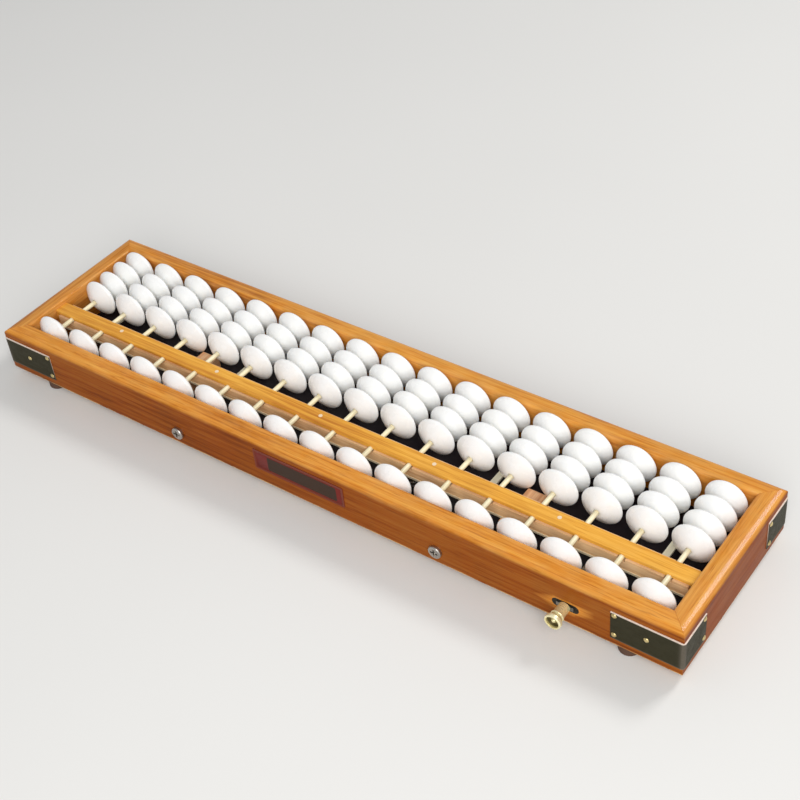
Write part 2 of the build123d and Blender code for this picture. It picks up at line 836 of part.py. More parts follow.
# Return springs: a coil around each lever's stud with a straight tail at both ends
with BuildPart() as return_springs:
    quarters = 4 * spring_turns
    for sx in (-1, 1):
        x = sx * lever_offset
        with BuildLine() as centre_line:
            first, first_way = coil_point(x, 0)
            Line(first - first_way * spring_tail, first)
            for quarter in range(quarters):
                start, start_way = coil_point(x, quarter / quarters)
                end, end_way = coil_point(x, (quarter + 1) / quarters)
                joint, joint_way = biarc(start, end, start_way, end_way)
                TangentArc(start, joint, tangent=start_way)
                TangentArc(joint, end, tangent=joint_way)
            last, last_way = coil_point(x, 1)
            Line(last, last + last_way * spring_tail)
        tail_start = first - first_way * spring_tail
        with BuildSketch(Plane(origin=tail_start, z_dir=first_way)) as wire:
            Circle(spring_wire_radius)
        sweep(wire.sketch, path=centre_line.wire())
turn_rise = spring_height / spring_turns
print("return spring gap between turns", round(turn_rise - 2 * spring_wire_radius, 3))
return_springs.part.label = "return_springs"
export_step(return_springs.part, "parts/return_springs.step")

# Corner plates: folded round each corner of the frame, with holes for their nails
with BuildPart() as corner_plates:
    for sx, sy in corner_signs:
        outer_x = sx * (half_length + plate_thickness)
        outer_y = middle_y + sy * (frame_depth / 2 + plate_thickness)
        long_end = sx * (half_length - plate_long_leg)
        short_end = middle_y + sy * (frame_depth / 2 - plate_short_leg)
        face_x = sx * half_length
        face_y = middle_y + sy * frame_depth / 2
        low = wood_bottom + plate_rise
        with BuildSketch(Plane((0, 0, low))) as outline:
            with BuildLine():
                Polyline(
                    (long_end, face_y), (face_x, face_y), (face_x, short_end),
                    (outer_x, short_end), (outer_x, outer_y), (long_end, outer_y),
                    close=True,
                )
            make_face()
        extrude(outline.sketch, amount=plate_height)
        nail_holes(sx, sy, nail_shank_diameter / 2 + fit_gap)
corner_plates.part.label = "corner_plates"
export_step(corner_plates.part, "parts/corner_plates.step")


def domed_nail(place, way):
    """Add one nail: a shank and a low domed head that points the given way."""
    with BuildSketch(Plane(place, x_dir=(0, 0, 1), z_dir=way)) as shank:
        Circle(nail_shank_diameter / 2)
    extrude(shank.sketch, amount=plate_thickness)
    extrude(shank.sketch, amount=-nail_length)
    head_place = Vector(*place) + Vector(*way) * plate_thickness
    head_plane = Plane(head_place, x_dir=(0, 0, 1), z_dir=way)
    side_plane = Plane(head_place, x_dir=(0, 0, 1), z_dir=head_plane.y_dir)
    head_radius = nail_head_diameter / 2
    dome = (head_radius**2 + nail_head_height**2) / (2 * nail_head_height)
    up = 1 if side_plane.y_dir.dot(Vector(*way)) > 0 else -1
    with BuildSketch(side_plane) as section:
        with BuildLine():
            Line((0, 0), (head_radius, 0))
            RadiusArc((head_radius, 0), (0, up * nail_head_height), -up * dome)
            Line((0, up * nail_head_height), (0, 0))
        make_face()
    revolve(section.sketch, axis=Axis(head_place, way))


# Plate nails: three on each long leg and two on each short leg
with BuildPart() as plate_nails:
    for sx, sy in corner_signs:
        for reach, rise in long_nails:
            y = middle_y + sy * frame_depth / 2
            z = wood_bottom + plate_rise + rise
            domed_nail((sx * (half_length - reach), y, z), (0, sy, 0))
        for reach, rise in short_nails:
            y = middle_y + sy * (frame_depth / 2 - reach)
            z = wood_bottom + plate_rise + rise
            domed_nail((sx * half_length, y, z), (sx, 0, 0))
plate_nails.part.label = "plate_nails"
export_step(plate_nails.part, "parts/plate_nails.step")

# Frame screws: pan heads with a cross recess through the long rails into the bars' flanges,
# one in each foot, and a row along each long side of the floor board
with BuildPart() as frame_screws:
    for x in screwed_bar_places:
        for sy in (-1, 1):
            face = middle_y + sy * frame_depth / 2
            tip = middle_y + sy * (inner_depth / 2 - bar_thickness)
            head_end = face + sy * screw_head_height
            y0, y1 = sorted((face, tip))
            rod_along_y(x, bar_screw_z, screw_shank_diameter / 2, y0, y1)
            y0, y1 = sorted((face, head_end))
            rod_along_y(x, bar_screw_z, screw_head_diameter / 2, y0, y1)
            rim = frame_screws.edges().filter_by(GeomType.CIRCLE)
            rim = [
                edge
                for edge in rim
                if (edge.arc_center - Vector(x, head_end, bar_screw_z)).length < fit_gap
            ]
            fillet(rim, radius=screw_head_round)
            half = screw_recess_length / 2
            slim = screw_recess_width / 2
            y0, y1 = sorted((head_end - sy * screw_recess_depth, head_end + sy * overrun))
            box_between(
                x - half, x + half, y0, y1, bar_screw_z - slim, bar_screw_z + slim,
                Mode.SUBTRACT,
            )
            box_between(
                x - slim, x + slim, y0, y1, bar_screw_z - half, bar_screw_z + half,
                Mode.SUBTRACT,
            )
    for x, y in foot_places:
        shank_top = wood_bottom + foot_screw_length - fit_gap
        head_bottom = foot_recess - floor_screw_head_height
        rod_along_z(x, y, foot_screw_radius, foot_recess, shank_top)
        rod_along_z(x, y, foot_screw_head_radius, head_bottom, foot_recess)
    for x, y in floor_screw_places:
        head_top = wood_bottom + floor_screw_head_height
        shank_top = wood_bottom + floor_screw_length - fit_gap
        rod_along_z(x, y, floor_screw_head_radius, wood_bottom, head_top)
        rod_along_z(x, y, floor_screw_radius, head_top, shank_top)
frame_screws.part.label = "frame_screws"
export_step(frame_screws.part, "parts/frame_screws.step")

# Label plate: a plain plate on the front rail
with BuildPart() as label_plate:
    label_mid_z = wood_bottom + label_rise + label_height / 2
    with BuildSketch(Plane((0, front_y, label_mid_z), x_dir=(1, 0, 0), z_dir=(0, -1, 0))):
        RectangleRounded(label_length, label_height, label_corner)
    extrude(amount=label_thickness)
label_plate.part.label = "label_plate"
export_step(label_plate.part, "parts/label_plate.step")

# Feet: four round pads, each with a sunk screw
with BuildPart() as feet:
    for x, y in foot_places:
        rod_along_z(x, y, foot_diameter / 2, 0, foot_height)
    fillet(feet.edges().group_by(Axis.Z)[0], radius=foot_round)
    for x, y in foot_places:
        head = foot_screw_head_radius + slide_gap
        rod_along_z(x, y, head, -overrun, foot_recess, Mode.SUBTRACT)
        rod_along_z(x, y, foot_screw_radius + fit_gap, 0, foot_height + overrun, Mode.SUBTRACT)
feet.part.label = "feet"
export_step(feet.part, "parts/feet.step")
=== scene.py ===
import logging
import math
from dataclasses import dataclass, field, fields
from enum import Enum
from typing import Dict, List, Optional, Sequence, Tuple, Union

import bpy
import numpy as np
from mathutils import Matrix


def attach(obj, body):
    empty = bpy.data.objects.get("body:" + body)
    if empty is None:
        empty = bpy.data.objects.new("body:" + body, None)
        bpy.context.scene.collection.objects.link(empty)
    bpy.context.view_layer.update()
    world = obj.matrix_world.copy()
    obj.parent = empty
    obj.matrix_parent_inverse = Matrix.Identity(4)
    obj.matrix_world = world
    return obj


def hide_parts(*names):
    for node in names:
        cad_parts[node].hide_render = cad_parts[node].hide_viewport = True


# Seventeen-rod counting frame: lacquered rails, white beads on bamboo rods, a dividing beam
# over two clearing combs, and a brass pull knob. Lengths are written in millimetres and go
# into the meshes in metres. +X runs along the frame, -Y faces the knob side, +Z is up.

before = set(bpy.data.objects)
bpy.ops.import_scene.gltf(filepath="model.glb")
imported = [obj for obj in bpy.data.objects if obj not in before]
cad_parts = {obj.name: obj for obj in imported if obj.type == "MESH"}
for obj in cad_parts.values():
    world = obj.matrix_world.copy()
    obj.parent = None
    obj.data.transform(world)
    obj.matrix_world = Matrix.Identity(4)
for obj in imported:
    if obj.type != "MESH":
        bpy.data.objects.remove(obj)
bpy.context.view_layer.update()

MM = 0.001
# Layer of rubbed edges and grime, which also carries painted highlights on some edges
WEAR_AND_HIGHLIGHT = "wear"
# Layer of painted shade that darkens the rails' upright and inner faces and thins their coat there
SHADE_LAYER = "tone"
LOG = logging.getLogger("counting_frame")

Colour = Tuple[float, float, float]
Point = Tuple[float, float, float]
Socket = bpy.types.NodeSocket
Value = Union[float, tuple, Socket]
Looks = Dict[str, bpy.types.Material]

# The frame's outer faces and the axis of the pull, shared by several sub-assemblies
HALF_LENGTH = 188.6
HALF_DEPTH = 45.775
MIDDLE_Y = 4.3
FRONT = MIDDLE_Y - HALF_DEPTH
PULL_X = 136.5
PULL_Z = 14.35


class Grain(Enum):
    """The way that a fibre or a grain runs: the turn about Z that brings it to X."""

    ALONG_X = 0.0
    ALONG_Y = math.pi / 2


class Sum(Enum):
    """The sums that join two values of a material."""

    ADD = "ADD"
    SUBTRACT = "SUBTRACT"
    MULTIPLY = "MULTIPLY"


class Blend(Enum):
    """The ways in which one colour is laid over another."""

    COVER = "MIX"
    DARKEN = "MULTIPLY"
    SOFT = "SOFT_LIGHT"


def linear(red: int, green: int, blue: int) -> Tuple[float, float, float, float]:
    """Turn a screen colour into the scene's linear colour.

    Each channel is divided by 255, then brought to linear light by the usual curve: a straight
    piece near black and a power of 2.4 above it.

    Args:
        red, green, blue: the screen colour's channels, 0 to 255.

    Returns:
        The linear red, green, blue and an alpha of one.
    """
    screen = np.array([red, green, blue]) / 255.0
    low = screen / 12.92
    high = ((screen + 0.055) / 1.055) ** 2.4
    light = np.where(screen <= 0.04045, low, high)
    return (float(light[0]), float(light[1]), float(light[2]), 1.0)


# Meshes from grids of points


@dataclass
class Shell:
    """One closed surface: its points, its faces and how worn each point is.

    Fields:
        points: the points, one row each, in millimetres.
        faces: lists of point numbers, one per face.
        wear: how rubbed each point is, up to 1, and on some edges how strong a painted highlight
            is; below zero it is grimy.
        tone: how much painted shade darkens each point, from 0 to 1, or nothing for none.
    """

    points: np.ndarray
    faces: List[List[int]]
    wear: np.ndarray
    tone: Optional[np.ndarray] = None

    def outward(self) -> "Shell":
        """Turn the faces over where the enclosed volume comes out negative.

        The volume is a sixth of the sum of the triple products of each fan triangle's corners.

        Returns:
            The same shell with its faces pointing outwards.
        """
        volume = 0.0
        for size in sorted({len(face) for face in self.faces}):
            rows = np.array([face for face in self.faces if len(face) == size])
            first = self.points[rows[:, 0]]
            for corner in range(1, size - 1):
                second = self.points[rows[:, corner]]
                third = self.points[rows[:, corner + 1]]
                volume += float(np.einsum("ij,ij->", first, np.cross(second, third)))
        if volume < 0:
            self.faces = [face[::-1] for face in self.faces]
        return self


def grid_faces(rows: int, columns: int, wrap_rows: bool) -> np.ndarray:
    """Number the four-sided faces of a grid whose columns close on themselves.

    Face (i, j) joins points (i, j), (i, j+1), (i+1, j+1) and (i+1, j), where j+1 is taken
    round the columns and i+1 round the rows if these close too.

    Args:
        rows: how many rows of points there are.
        columns: how many points a row has.
        wrap_rows: whether the last row joins the first.

    Returns:
        One row of four point numbers per face.
    """
    last = rows if wrap_rows else rows - 1
    i, j = np.meshgrid(np.arange(last), np.arange(columns), indexing="ij")
    up = (i + 1) % rows
    across = (j + 1) % columns
    corners = [i * columns + j, i * columns + across, up * columns + across, up * columns + j]
    return np.stack(corners, axis=-1).reshape(-1, 4)


def tube_shell(rings: np.ndarray, wear: Optional[np.ndarray] = None) -> Shell:
    """Close a stack of rings into a solid bar: side faces and a flat cap at both ends.

    Args:
        rings: points as (rings, points per ring, 3), in millimetres.
        wear: a share for each point as (rings, points per ring), or nothing for none.

    Returns:
        The closed shell.
    """
    count, size = rings.shape[:2]
    faces = grid_faces(count, size, False).tolist()
    faces.append(list(range(size)))
    faces.append(list(range((count - 1) * size, count * size)))
    shares = np.zeros(count * size) if wear is None else wear.reshape(-1)
    return Shell(rings.reshape(-1, 3), faces, shares).outward()


def swept(section: np.ndarray, turns: int) -> np.ndarray:
    """Sweep a section round the Y axis.

    The point at angle a of a section point (r, h) is (r cos a, h, r sin a).

    Args:
        section: the section's points as (radius, height along Y), in millimetres.
        turns: how many steps go round.

    Returns:
        The points as (section points, turns, 3).
    """
    angle = np.linspace(0.0, 2.0 * math.pi, turns, endpoint=False)[None, :]
    radius, height = section[:, 0][:, None], section[:, 1][:, None]
    return np.stack([radius * np.cos(angle), np.broadcast_to(height, (len(section), turns)),
                     radius * np.sin(angle)], axis=-1)


def ring_shell(section: np.ndarray, middle: Point, turns: int, wear: np.ndarray) -> Shell:
    """Sweep a closed section round an axis along Y, as on a bead with a bore.

    Args:
        section: the section's points as (radius, height along Y), in millimetres.
        middle: a point on the axis, at height zero.
        turns: how many steps go round.
        wear: a share for each section point.

    Returns:
        The closed shell.
    """
    points = swept(section, turns).swapaxes(0, 1) + np.array(middle)
    faces = grid_faces(turns, len(section), True).tolist()
    return Shell(points.reshape(-1, 3), faces, np.tile(wear, turns)).outward()


def turned_shell(profile: np.ndarray, foot: Point, turns: int, wear: np.ndarray) -> Shell:
    """Sweep an open profile, whose ends lie on the axis, into a solid such as a knob.

    Each end is one point, joined to its first ring by a fan.

    Args:
        profile: the profile's points as (radius, height along Y), from axis to axis.
        foot: a point on the axis, at height zero.
        turns: how many steps go round.
        wear: a share for each profile point.

    Returns:
        The closed shell.
    """
    body = profile[1:-1]
    rings = swept(body, turns).reshape(-1, 3)
    ends = np.zeros((2, 3))
    ends[:, 1] = (profile[0, 1], profile[-1, 1])
    first, last = len(rings), len(rings) + 1
    base = (len(body) - 1) * turns
    step = np.arange(turns)
    after = (step + 1) % turns
    faces = grid_faces(len(body), turns, False).tolist()
    faces += np.stack([after, step, np.full(turns, first)], axis=-1).tolist()
    faces += np.stack([base + step, base + after, np.full(turns, last)], axis=-1).tolist()
    shares = np.concatenate([np.repeat(wear[1:-1], turns), wear[[0, -1]]])
    return Shell(np.vstack([rings, ends]) + np.array(foot), faces, shares).outward()


def arc_points(x: float, y: float, radii: Union[float, Tuple[float, float]], start: float,
               end: float, count: int) -> np.ndarray:
    """Place points on a quarter or any part of an ellipse.

    A point is the centre plus (a cos t, b sin t) for t from start to end.

    Args:
        x, y: the ellipse's centre.
        radii: its half sizes a and b, or a circle's radius.
        start, end: the first and last angle, in degrees.
        count: how many points.

    Returns:
        The points, one row each.
    """
    angle = np.radians(np.linspace(start, end, count))
    ways = np.stack([np.cos(angle), np.sin(angle)], axis=-1)
    return np.array([x, y]) + np.array(radii) * ways


def joined(parts: Sequence[Tuple[np.ndarray, float]]) -> Tuple[np.ndarray, np.ndarray]:
    """Join the stretches of an outline, each of which has one share of wear.

    Args:
        parts: each stretch's points and its wear.

    Returns:
        All the points, one row each, and the wear of each.
    """
    points = np.vstack([part for part, _ in parts])
    wear = np.concatenate([np.full(len(part), share) for part, share in parts])
    return points, wear


def standing(outline: np.ndarray, y: float) -> np.ndarray:
    """Stand an outline of (X, Z) points upright at a place along Y."""
    return np.stack([outline[:, 0], np.full(len(outline), y), outline[:, 1]], axis=-1)


def eased_outline(corners: np.ndarray, ease: float, steps: int, spacing: float) -> np.ndarray:
    """Round the corners of a closed outline by averaging along it.

    The outline is cut into steps of equal length, then each point is replaced by the mean of
    its neighbours within the ease, weighted by how near they are, which rounds every corner
    and keeps straight runs straight.

    Args:
        corners: the outline's corners in order, one row each.
        ease: how far from a corner the rounding reaches.
        steps: how many points the result has.
        spacing: the spacing at which the averaging is done.

    Returns:
        The rounded outline's points.
    """
    loop = np.vstack([corners, corners[:1]])
    run = np.concatenate([[0.0], np.cumsum(np.linalg.norm(np.diff(loop, axis=0), axis=1))])
    fine = np.arange(0.0, run[-1], spacing)
    dense = np.stack([np.interp(fine, run, loop[:, k]) for k in (0, 1)], axis=-1)
    reach = max(1, int(round(ease / spacing)))
    offsets = np.arange(-reach, reach + 1)
    weights = (reach + 1 - np.abs(offsets)).astype(float)
    weights /= weights.sum()
    index = (np.arange(len(dense))[:, None] + offsets[None, :]) % len(dense)
    smooth = np.einsum("ijk,j->ik", dense[index], weights)
    pick = np.linspace(0, len(smooth), steps, endpoint=False).astype(int)
    return smooth[pick]


def linked(name: str, data: bpy.types.ID) -> bpy.types.Object:
    """Make an object and link it to the scene.

    Args:
        name: its name.
        data: its mesh, lamp or camera.

    Returns:
        The object.
    """
    thing = bpy.data.objects.new(name, data)
    bpy.context.scene.collection.objects.link(thing)
    return thing


def shade(mesh: bpy.types.Mesh, crease: float) -> None:
    """Shade a mesh smooth, with edges sharper than an angle in degrees kept sharp."""
    mesh.polygons.foreach_set("use_smooth", np.ones(len(mesh.polygons), dtype=bool))
    mesh.set_sharp_from_angle(angle=math.radians(crease))


@dataclass
class Piece:
    """One visible piece: shells gathered into one object, with its place in the mesh.

    Fields:
        name: the object's name.
        shells: the closed surfaces that it is made of.
        crease: edges sharper than this angle, in degrees, stay sharp.
    """

    name: str
    shells: List[Shell]
    crease: float = 38.0

    def build(self) -> bpy.types.Object:
        """Put the shells into one mesh and link its object.

        Returns:
            The new object, at the origin, unturned and unscaled.
        """
        points = np.vstack([shell.points for shell in self.shells]) * MM
        starts = np.cumsum([0] + [len(shell.points) for shell in self.shells[:-1]])
        faces = [[int(start) + corner for corner in face]
                 for start, shell in zip(starts, self.shells) for face in shell.faces]
        mesh = bpy.data.meshes.new(self.name)
        mesh.from_pydata(points.tolist(), [], faces)
        wear = [shell.wear for shell in self.shells]
        tone = [shell.wear * 0.0 if shell.tone is None else shell.tone for shell in self.shells]
        for name, shares in ((WEAR_AND_HIGHLIGHT, wear), (SHADE_LAYER, tone)):
            layer = mesh.attributes.new(name, "FLOAT", "POINT")
            layer.data.foreach_set("value", np.concatenate(shares).astype(np.float32))
        shade(mesh, self.crease)
        mesh.update()
        LOG.info("piece %s: %d points, %d faces", self.name, len(points), len(faces))
        return linked(self.name, mesh)


def dress(thing: bpy.types.Object, finish: bpy.types.Material) -> None:
    """Give every material slot of an object the same finish."""
    thing.data.materials.clear()
    thing.data.materials.append(finish)


def take_place(thing: bpy.types.Object, finish: bpy.types.Material, node: str, body: str) -> None:
    """Dress a piece and put it in a node's place.

    Args:
        thing: the piece's object.
        finish: its material.
        node: the node that it replaces.
        body: the body that it rides on.
    """
    dress(thing, finish)
    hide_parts(node)
    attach(thing, body)


def cut_away(thing: bpy.types.Object, cutter: bpy.types.Object, crease: float) -> None:
    """Cut one closed mesh out of another, keep the result and delete the cutter.

    Args:
        thing: the object that is cut.
        cutter: the object whose shape is taken away.
        crease: edges sharper than this angle, in degrees, stay sharp.
    """
    step = thing.modifiers.new("cut", "BOOLEAN")
    step.operation = "DIFFERENCE"
    step.solver = "EXACT"
    step.object = cutter
    graph = bpy.context.evaluated_depsgraph_get()
    made = bpy.data.meshes.new_from_object(thing.evaluated_get(graph))
    thing.modifiers.clear()
    thing.data = made
    shade(made, crease)
    bpy.data.objects.remove(cutter)


# Finishes


@dataclass(frozen=True)
class Pattern:
    """Smooth noise, with the part of its range that counts.

    Fields:
        fine: how many features lie across a metre.
        low, high: the values that become 0 and 1.
        detail, roughness, distortion: how many finer layers it has, how strong they are and
            how much it swirls.
        along, across: how the features are stretched along the grain and across it: at a
            tenth, they are ten times as long.
    """

    fine: float
    low: float = 0.3
    high: float = 0.7
    detail: float = 3.0
    roughness: float = 0.5
    distortion: float = 0.0
    along: float = 1.0
    across: float = 1.0


class Weave:
    """Lays out the nodes of one material.

    Attributes:
        material: the material.
        nodes, links: its node tree's parts.
        surface: its main shader.
        grain: the way that its patterns run.
        place: the piece's own coordinates.
    """

    def __init__(self, name: str, grain: Grain = Grain.ALONG_X) -> None:
        """Start a material with one shader.

        Args:
            name: the material's name.
            grain: the way that its patterns run.
        """
        self.material = bpy.data.materials.new(name)
        self.material.use_nodes = True
        self.nodes = self.material.node_tree.nodes
        self.links = self.material.node_tree.links
        self.nodes.clear()
        self.grain = grain
        self.surface = self.node("BsdfPrincipled")
        self.node("OutputMaterial", Surface=self.surface.outputs["BSDF"])
        self.place = self.node("TexCoord").outputs["Object"]

    def feed(self, value: Value, socket: Socket) -> None:
        """Set an input to a constant, or link another node's value to it.

        Args:
            value: the constant or the other node's output.
            socket: the input.
        """
        if isinstance(value, (int, float, tuple)):
            socket.default_value = value
        else:
            self.links.new(value, socket)

    def feed_all(self, node: bpy.types.Node, inputs: Dict[str, Value]) -> None:
        """Feed a node's inputs, whose names have a low line here for each space."""
        for name, value in inputs.items():
            self.feed(value, node.inputs[name.replace("_", " ")])

    def node(self, kind: str, **inputs: Value) -> bpy.types.Node:
        """Add a node and feed its inputs.

        Args:
            kind: the node's kind.
            inputs: constants or other nodes' values by the input's name.

        Returns:
            The node.
        """
        node = self.nodes.new("ShaderNode" + kind)
        self.feed_all(node, inputs)
        return node

    def mapped(self, along: float, across: float) -> Socket:
        """Return the piece's own coordinates, with the grain turned to X and then scaled.

        Where both scales are one, the coordinates are left as they are.

        Args:
            along: the scale along the grain.
            across: the scale across it.

        Returns:
            The mapped place.
        """
        source = self.place
        if along == across == 1.0:
            return source
        if self.grain.value:
            turn = (0.0, 0.0, self.grain.value)
            source = self.node("Mapping", Vector=source, Rotation=turn).outputs["Vector"]
        scale = (along, across, across)
        return self.node("Mapping", Vector=source, Scale=scale).outputs["Vector"]

    def noise(self, pattern: Pattern) -> Socket:
        """Lay out a pattern's plain noise.

        Args:
            pattern: the pattern.

        Returns:
            The noise, from 0 to 1.
        """
        place = self.mapped(pattern.along, pattern.across)
        return self.node("TexNoise", Vector=place, Scale=pattern.fine, Detail=pattern.detail,
                         Roughness=pattern.roughness,
                         Distortion=pattern.distortion).outputs["Fac"]

    def spread(self, value: Socket, low: float, high: float, to_low: float = 0.0,
               to_high: float = 1.0) -> Socket:
        """Stretch the part of a value between two limits to new limits, and hold it there.

        Args:
            value: the value.
            low, high: the old limits.
            to_low, to_high: the new ones.

        Returns:
            The stretched value.
        """
        node = self.node("MapRange", Value=value, From_Min=low, From_Max=high, To_Min=to_low,
                         To_Max=to_high)
        node.clamp = True
        return node.outputs["Result"]

    def share(self, pattern: Pattern, to_low: float = 0.0, to_high: float = 1.0) -> Socket:
        """Return a pattern's noise, with the part that counts stretched to two limits."""
        return self.spread(self.noise(pattern), pattern.low, pattern.high, to_low, to_high)

    def sum_of(self, how: Sum, first: Socket, second: Value) -> Socket:
        """Join two values by one sum.

        Args:
            how: the sum.
            first: the first value.
            second: the second value, or a number.

        Returns:
            The result.
        """
        node = self.node("Math")
        node.operation = how.value
        for socket, value in zip(node.inputs, (first, second)):
            self.feed(value, socket)
        return node.outputs["Value"]

    def times(self, value: Socket, factor: Value) -> Socket:
        """Multiply a value by a number or by another value."""
        return self.sum_of(Sum.MULTIPLY, value, factor)

    def mix(self, share: Socket, under: Value, over: Value, strength: float = 1.0,
            how: Blend = Blend.COVER) -> Socket:
        """Lay one colour over another by a share.

        Args:
            share: how much of the upper colour shows.
            under, over: the two colours; each is a screen colour or another node's colour.
            strength: a number that multiplies the share.
            how: the way in which the upper colour is laid.

        Returns:
            The mixed colour.
        """
        if strength != 1.0:
            share = self.times(share, strength)
        node = self.node("Mix")
        node.data_type = "RGBA"
        node.blend_type = how.value
        self.feed(share, node.inputs["Factor"])
        for name, colour in (("A", under), ("B", over)):
            socket = next(s for s in node.inputs if s.name == name and s.type == "RGBA")
            self.feed(linear(*colour) if isinstance(colour, tuple) else colour, socket)
        return next(s for s in node.outputs if s.type == "RGBA")

    def layer(self, name: str) -> Socket:
        """Read one of the piece's own layers.

        Args:
            name: the layer's name, WEAR_AND_HIGHLIGHT or SHADE_LAYER.

        Returns:
            Its value.
        """
        node = self.node("Attribute")
        node.attribute_name = name
        return node.outputs["Fac"]

    def relief(self, height: Socket, depth: float, strength: float) -> Socket:
        """Turn a height from 0 to 1 into a bump of that depth in millimetres."""
        return self.node("Bump", Strength=strength, Distance=depth * MM,
                         Height=height).outputs["Normal"]

    def finish(self, colour: Socket, **inputs: Value) -> bpy.types.Material:
        """Give the shader its colour and its other inputs, with constants on its own sockets.

        Args:
            colour: the base colour.
            inputs: constants or other nodes' values by the input's name.

        Returns:
            The finished material.
        """
        self.feed_all(self.surface, {"Base_Color": colour, **inputs})
        return self.material


@dataclass(frozen=True)
class WoodFinish:
    """Oiled or lacquered wood with streaks, pores and a slow drift of tone.

    Fields:
        name: the material's name.
        grain: the way the fibres run.
        pale, middle, deep: the screen colours of the grain.
        edge: the screen colour of rubbed edges.
        streak: how many streaks lie across a metre.
        figure: the strength of the cross bands that catch the light.
        lacquer: the weight of the clear coat, which is thin on the upright faces.
        thin: the share of it that is left there.
        edge: the screen colour of rubbed edges, and of the painted highlight on the rails' outer
            bottom edge.
        side_shade: the screen colour of the painted shade that darkens the upright faces.
    """

    name: str
    grain: Grain
    pale: Colour
    middle: Colour
    deep: Colour
    edge: Colour
    streak: float = 560.0
    figure: float = 0.175
    lacquer: float = 0.3
    thin: float = 0.2
    roughness: float = 0.34
    side_shade: Colour = (176, 148, 136)

    def build(self) -> bpy.types.Material:
        """Build the wood: drift, streaks and fibre mixed by colour, pores as dark dashes.

        Returns:
            The material.
        """
        w = Weave(self.name, self.grain)
        drift = w.share(Pattern(fine=26.0, low=0.34, high=0.66, roughness=0.55, along=0.22))
        streak = w.share(Pattern(fine=self.streak, detail=5.0, roughness=0.62, distortion=0.4,
                                 along=0.035))
        fibre = w.share(Pattern(fine=self.streak * 5.0, roughness=0.6, along=0.035))
        pores = w.share(Pattern(fine=1500.0, low=0.60, high=0.70, detail=2.0, along=0.045))
        band = w.share(Pattern(fine=95.0, low=0.36, high=0.64, detail=2.0, distortion=0.6,
                               across=0.22))
        rub = w.share(Pattern(fine=300.0, low=0.35, high=0.62, roughness=0.6, along=0.3))
        tone = w.sum_of(Sum.ADD, w.times(streak, 0.62), w.times(drift, 0.38))
        low = w.mix(w.spread(tone, 0.10, 0.52), self.deep, self.middle)
        body = w.mix(w.spread(tone, 0.48, 0.92), low, self.pale)
        body = w.mix(fibre, body, self.deep, strength=0.22, how=Blend.DARKEN)
        body = w.mix(pores, body, self.deep, strength=0.55)
        body = w.mix(band, body, self.pale, strength=self.figure, how=Blend.SOFT)
        # Painted shade: the upright faces are darkened towards the side shade colour
        body = w.mix(w.layer(SHADE_LAYER), body, self.side_shade, how=Blend.DARKEN)
        # Rubbed edges; along the rails' outer bottom edge this is a painted highlight
        body = w.mix(w.times(w.layer(WEAR_AND_HIGHLIGHT), rub), body, self.edge, strength=0.75)
        rough = w.share(Pattern(fine=210.0, detail=4.0, along=0.22), self.roughness - 0.06,
                        self.roughness + 0.08)
        height = w.sum_of(Sum.SUBTRACT, w.times(streak, 0.4), pores)
        coat = w.spread(w.layer(SHADE_LAYER), 0.0, 1.0, self.lacquer, self.thin * self.lacquer)
        return w.finish(body, Roughness=rough, Coat_Weight=coat, Coat_Roughness=0.13, IOR=1.45,
                        Normal=w.relief(height, depth=0.05, strength=0.35),
                        Specular_IOR_Level=0.04)


@dataclass(frozen=True)
class BeadFinish:
    """Polished white moulded beads: a faint cloud in the tone, a soft sheen and grime by the bore.

    Fields:
        name: the material's name.
        pale, shade: the screen colours of the cloud.
        grime: the screen colour where fingers and the rod leave dirt.
        depth: how far light spreads inside, in millimetres.
        spread: how far red, green and blue spread, as shares of that depth.
    """

    name: str
    pale: Colour
    shade: Colour
    grime: Colour
    depth: float = 6.0
    spread: Tuple[float, float, float] = (1.0, 0.95, 0.9)

    def build(self) -> bpy.types.Material:
        """Build the bead finish: cloud, grime by wear, fine orange peel in the gloss.

        Returns:
            The material.
        """
        w = Weave(self.name)
        cloud = w.share(Pattern(fine=75.0, detail=4.0, roughness=0.55, distortion=0.5))
        spots = w.share(Pattern(fine=900.0, low=0.68, high=0.78, detail=2.0))
        dirt = w.share(Pattern(fine=420.0, low=0.25, high=0.75, roughness=0.6), 0.35, 1.0)
        body = w.mix(cloud, self.shade, self.pale)
        body = w.mix(spots, body, self.grime, strength=0.08)
        body = w.mix(w.times(w.layer(WEAR_AND_HIGHLIGHT), dirt), body, self.grime)
        rough = w.share(Pattern(fine=260.0), 0.20, 0.32)
        peel = w.noise(Pattern(fine=700.0, detail=2.0))
        return w.finish(body, Roughness=rough, Coat_Weight=0.2, Coat_Roughness=0.12, IOR=1.45,
                        Normal=w.relief(peel, depth=0.012, strength=0.3),
                        Subsurface_Weight=0.75, Subsurface_Radius=self.spread,
                        Subsurface_Scale=self.depth * MM)


@dataclass(frozen=True)
class FibreFinish:
    """Split bamboo: pale lengthwise fibres with a light wax.

    Fields:
        name: the material's name.
        grain: the way the fibres run.
        pale, deep: the screen colours of the fibres.
        joint: the screen colour of the browner patches.
    """

    name: str
    grain: Grain
    pale: Colour
    deep: Colour
    joint: Colour

    def build(self) -> bpy.types.Material:
        """Build the bamboo: thin fibres, a slow drift and soft brown patches.

        Returns:
            The material.
        """
        w = Weave(self.name, self.grain)
        fibre = w.share(Pattern(fine=2600.0, low=0.32, high=0.68, detail=4.0, roughness=0.6,
                                along=0.02))
        slow = w.share(Pattern(fine=60.0, low=0.35, high=0.65, along=0.35))
        body = w.mix(fibre, self.deep, self.pale)
        body = w.mix(slow, body, self.joint, strength=0.3)
        rough = w.spread(fibre, 0.0, 1.0, 0.34, 0.48)
        return w.finish(body, Roughness=rough, Coat_Weight=0.15, Coat_Roughness=0.2,
                        Normal=w.relief(fibre, depth=0.03, strength=0.4))


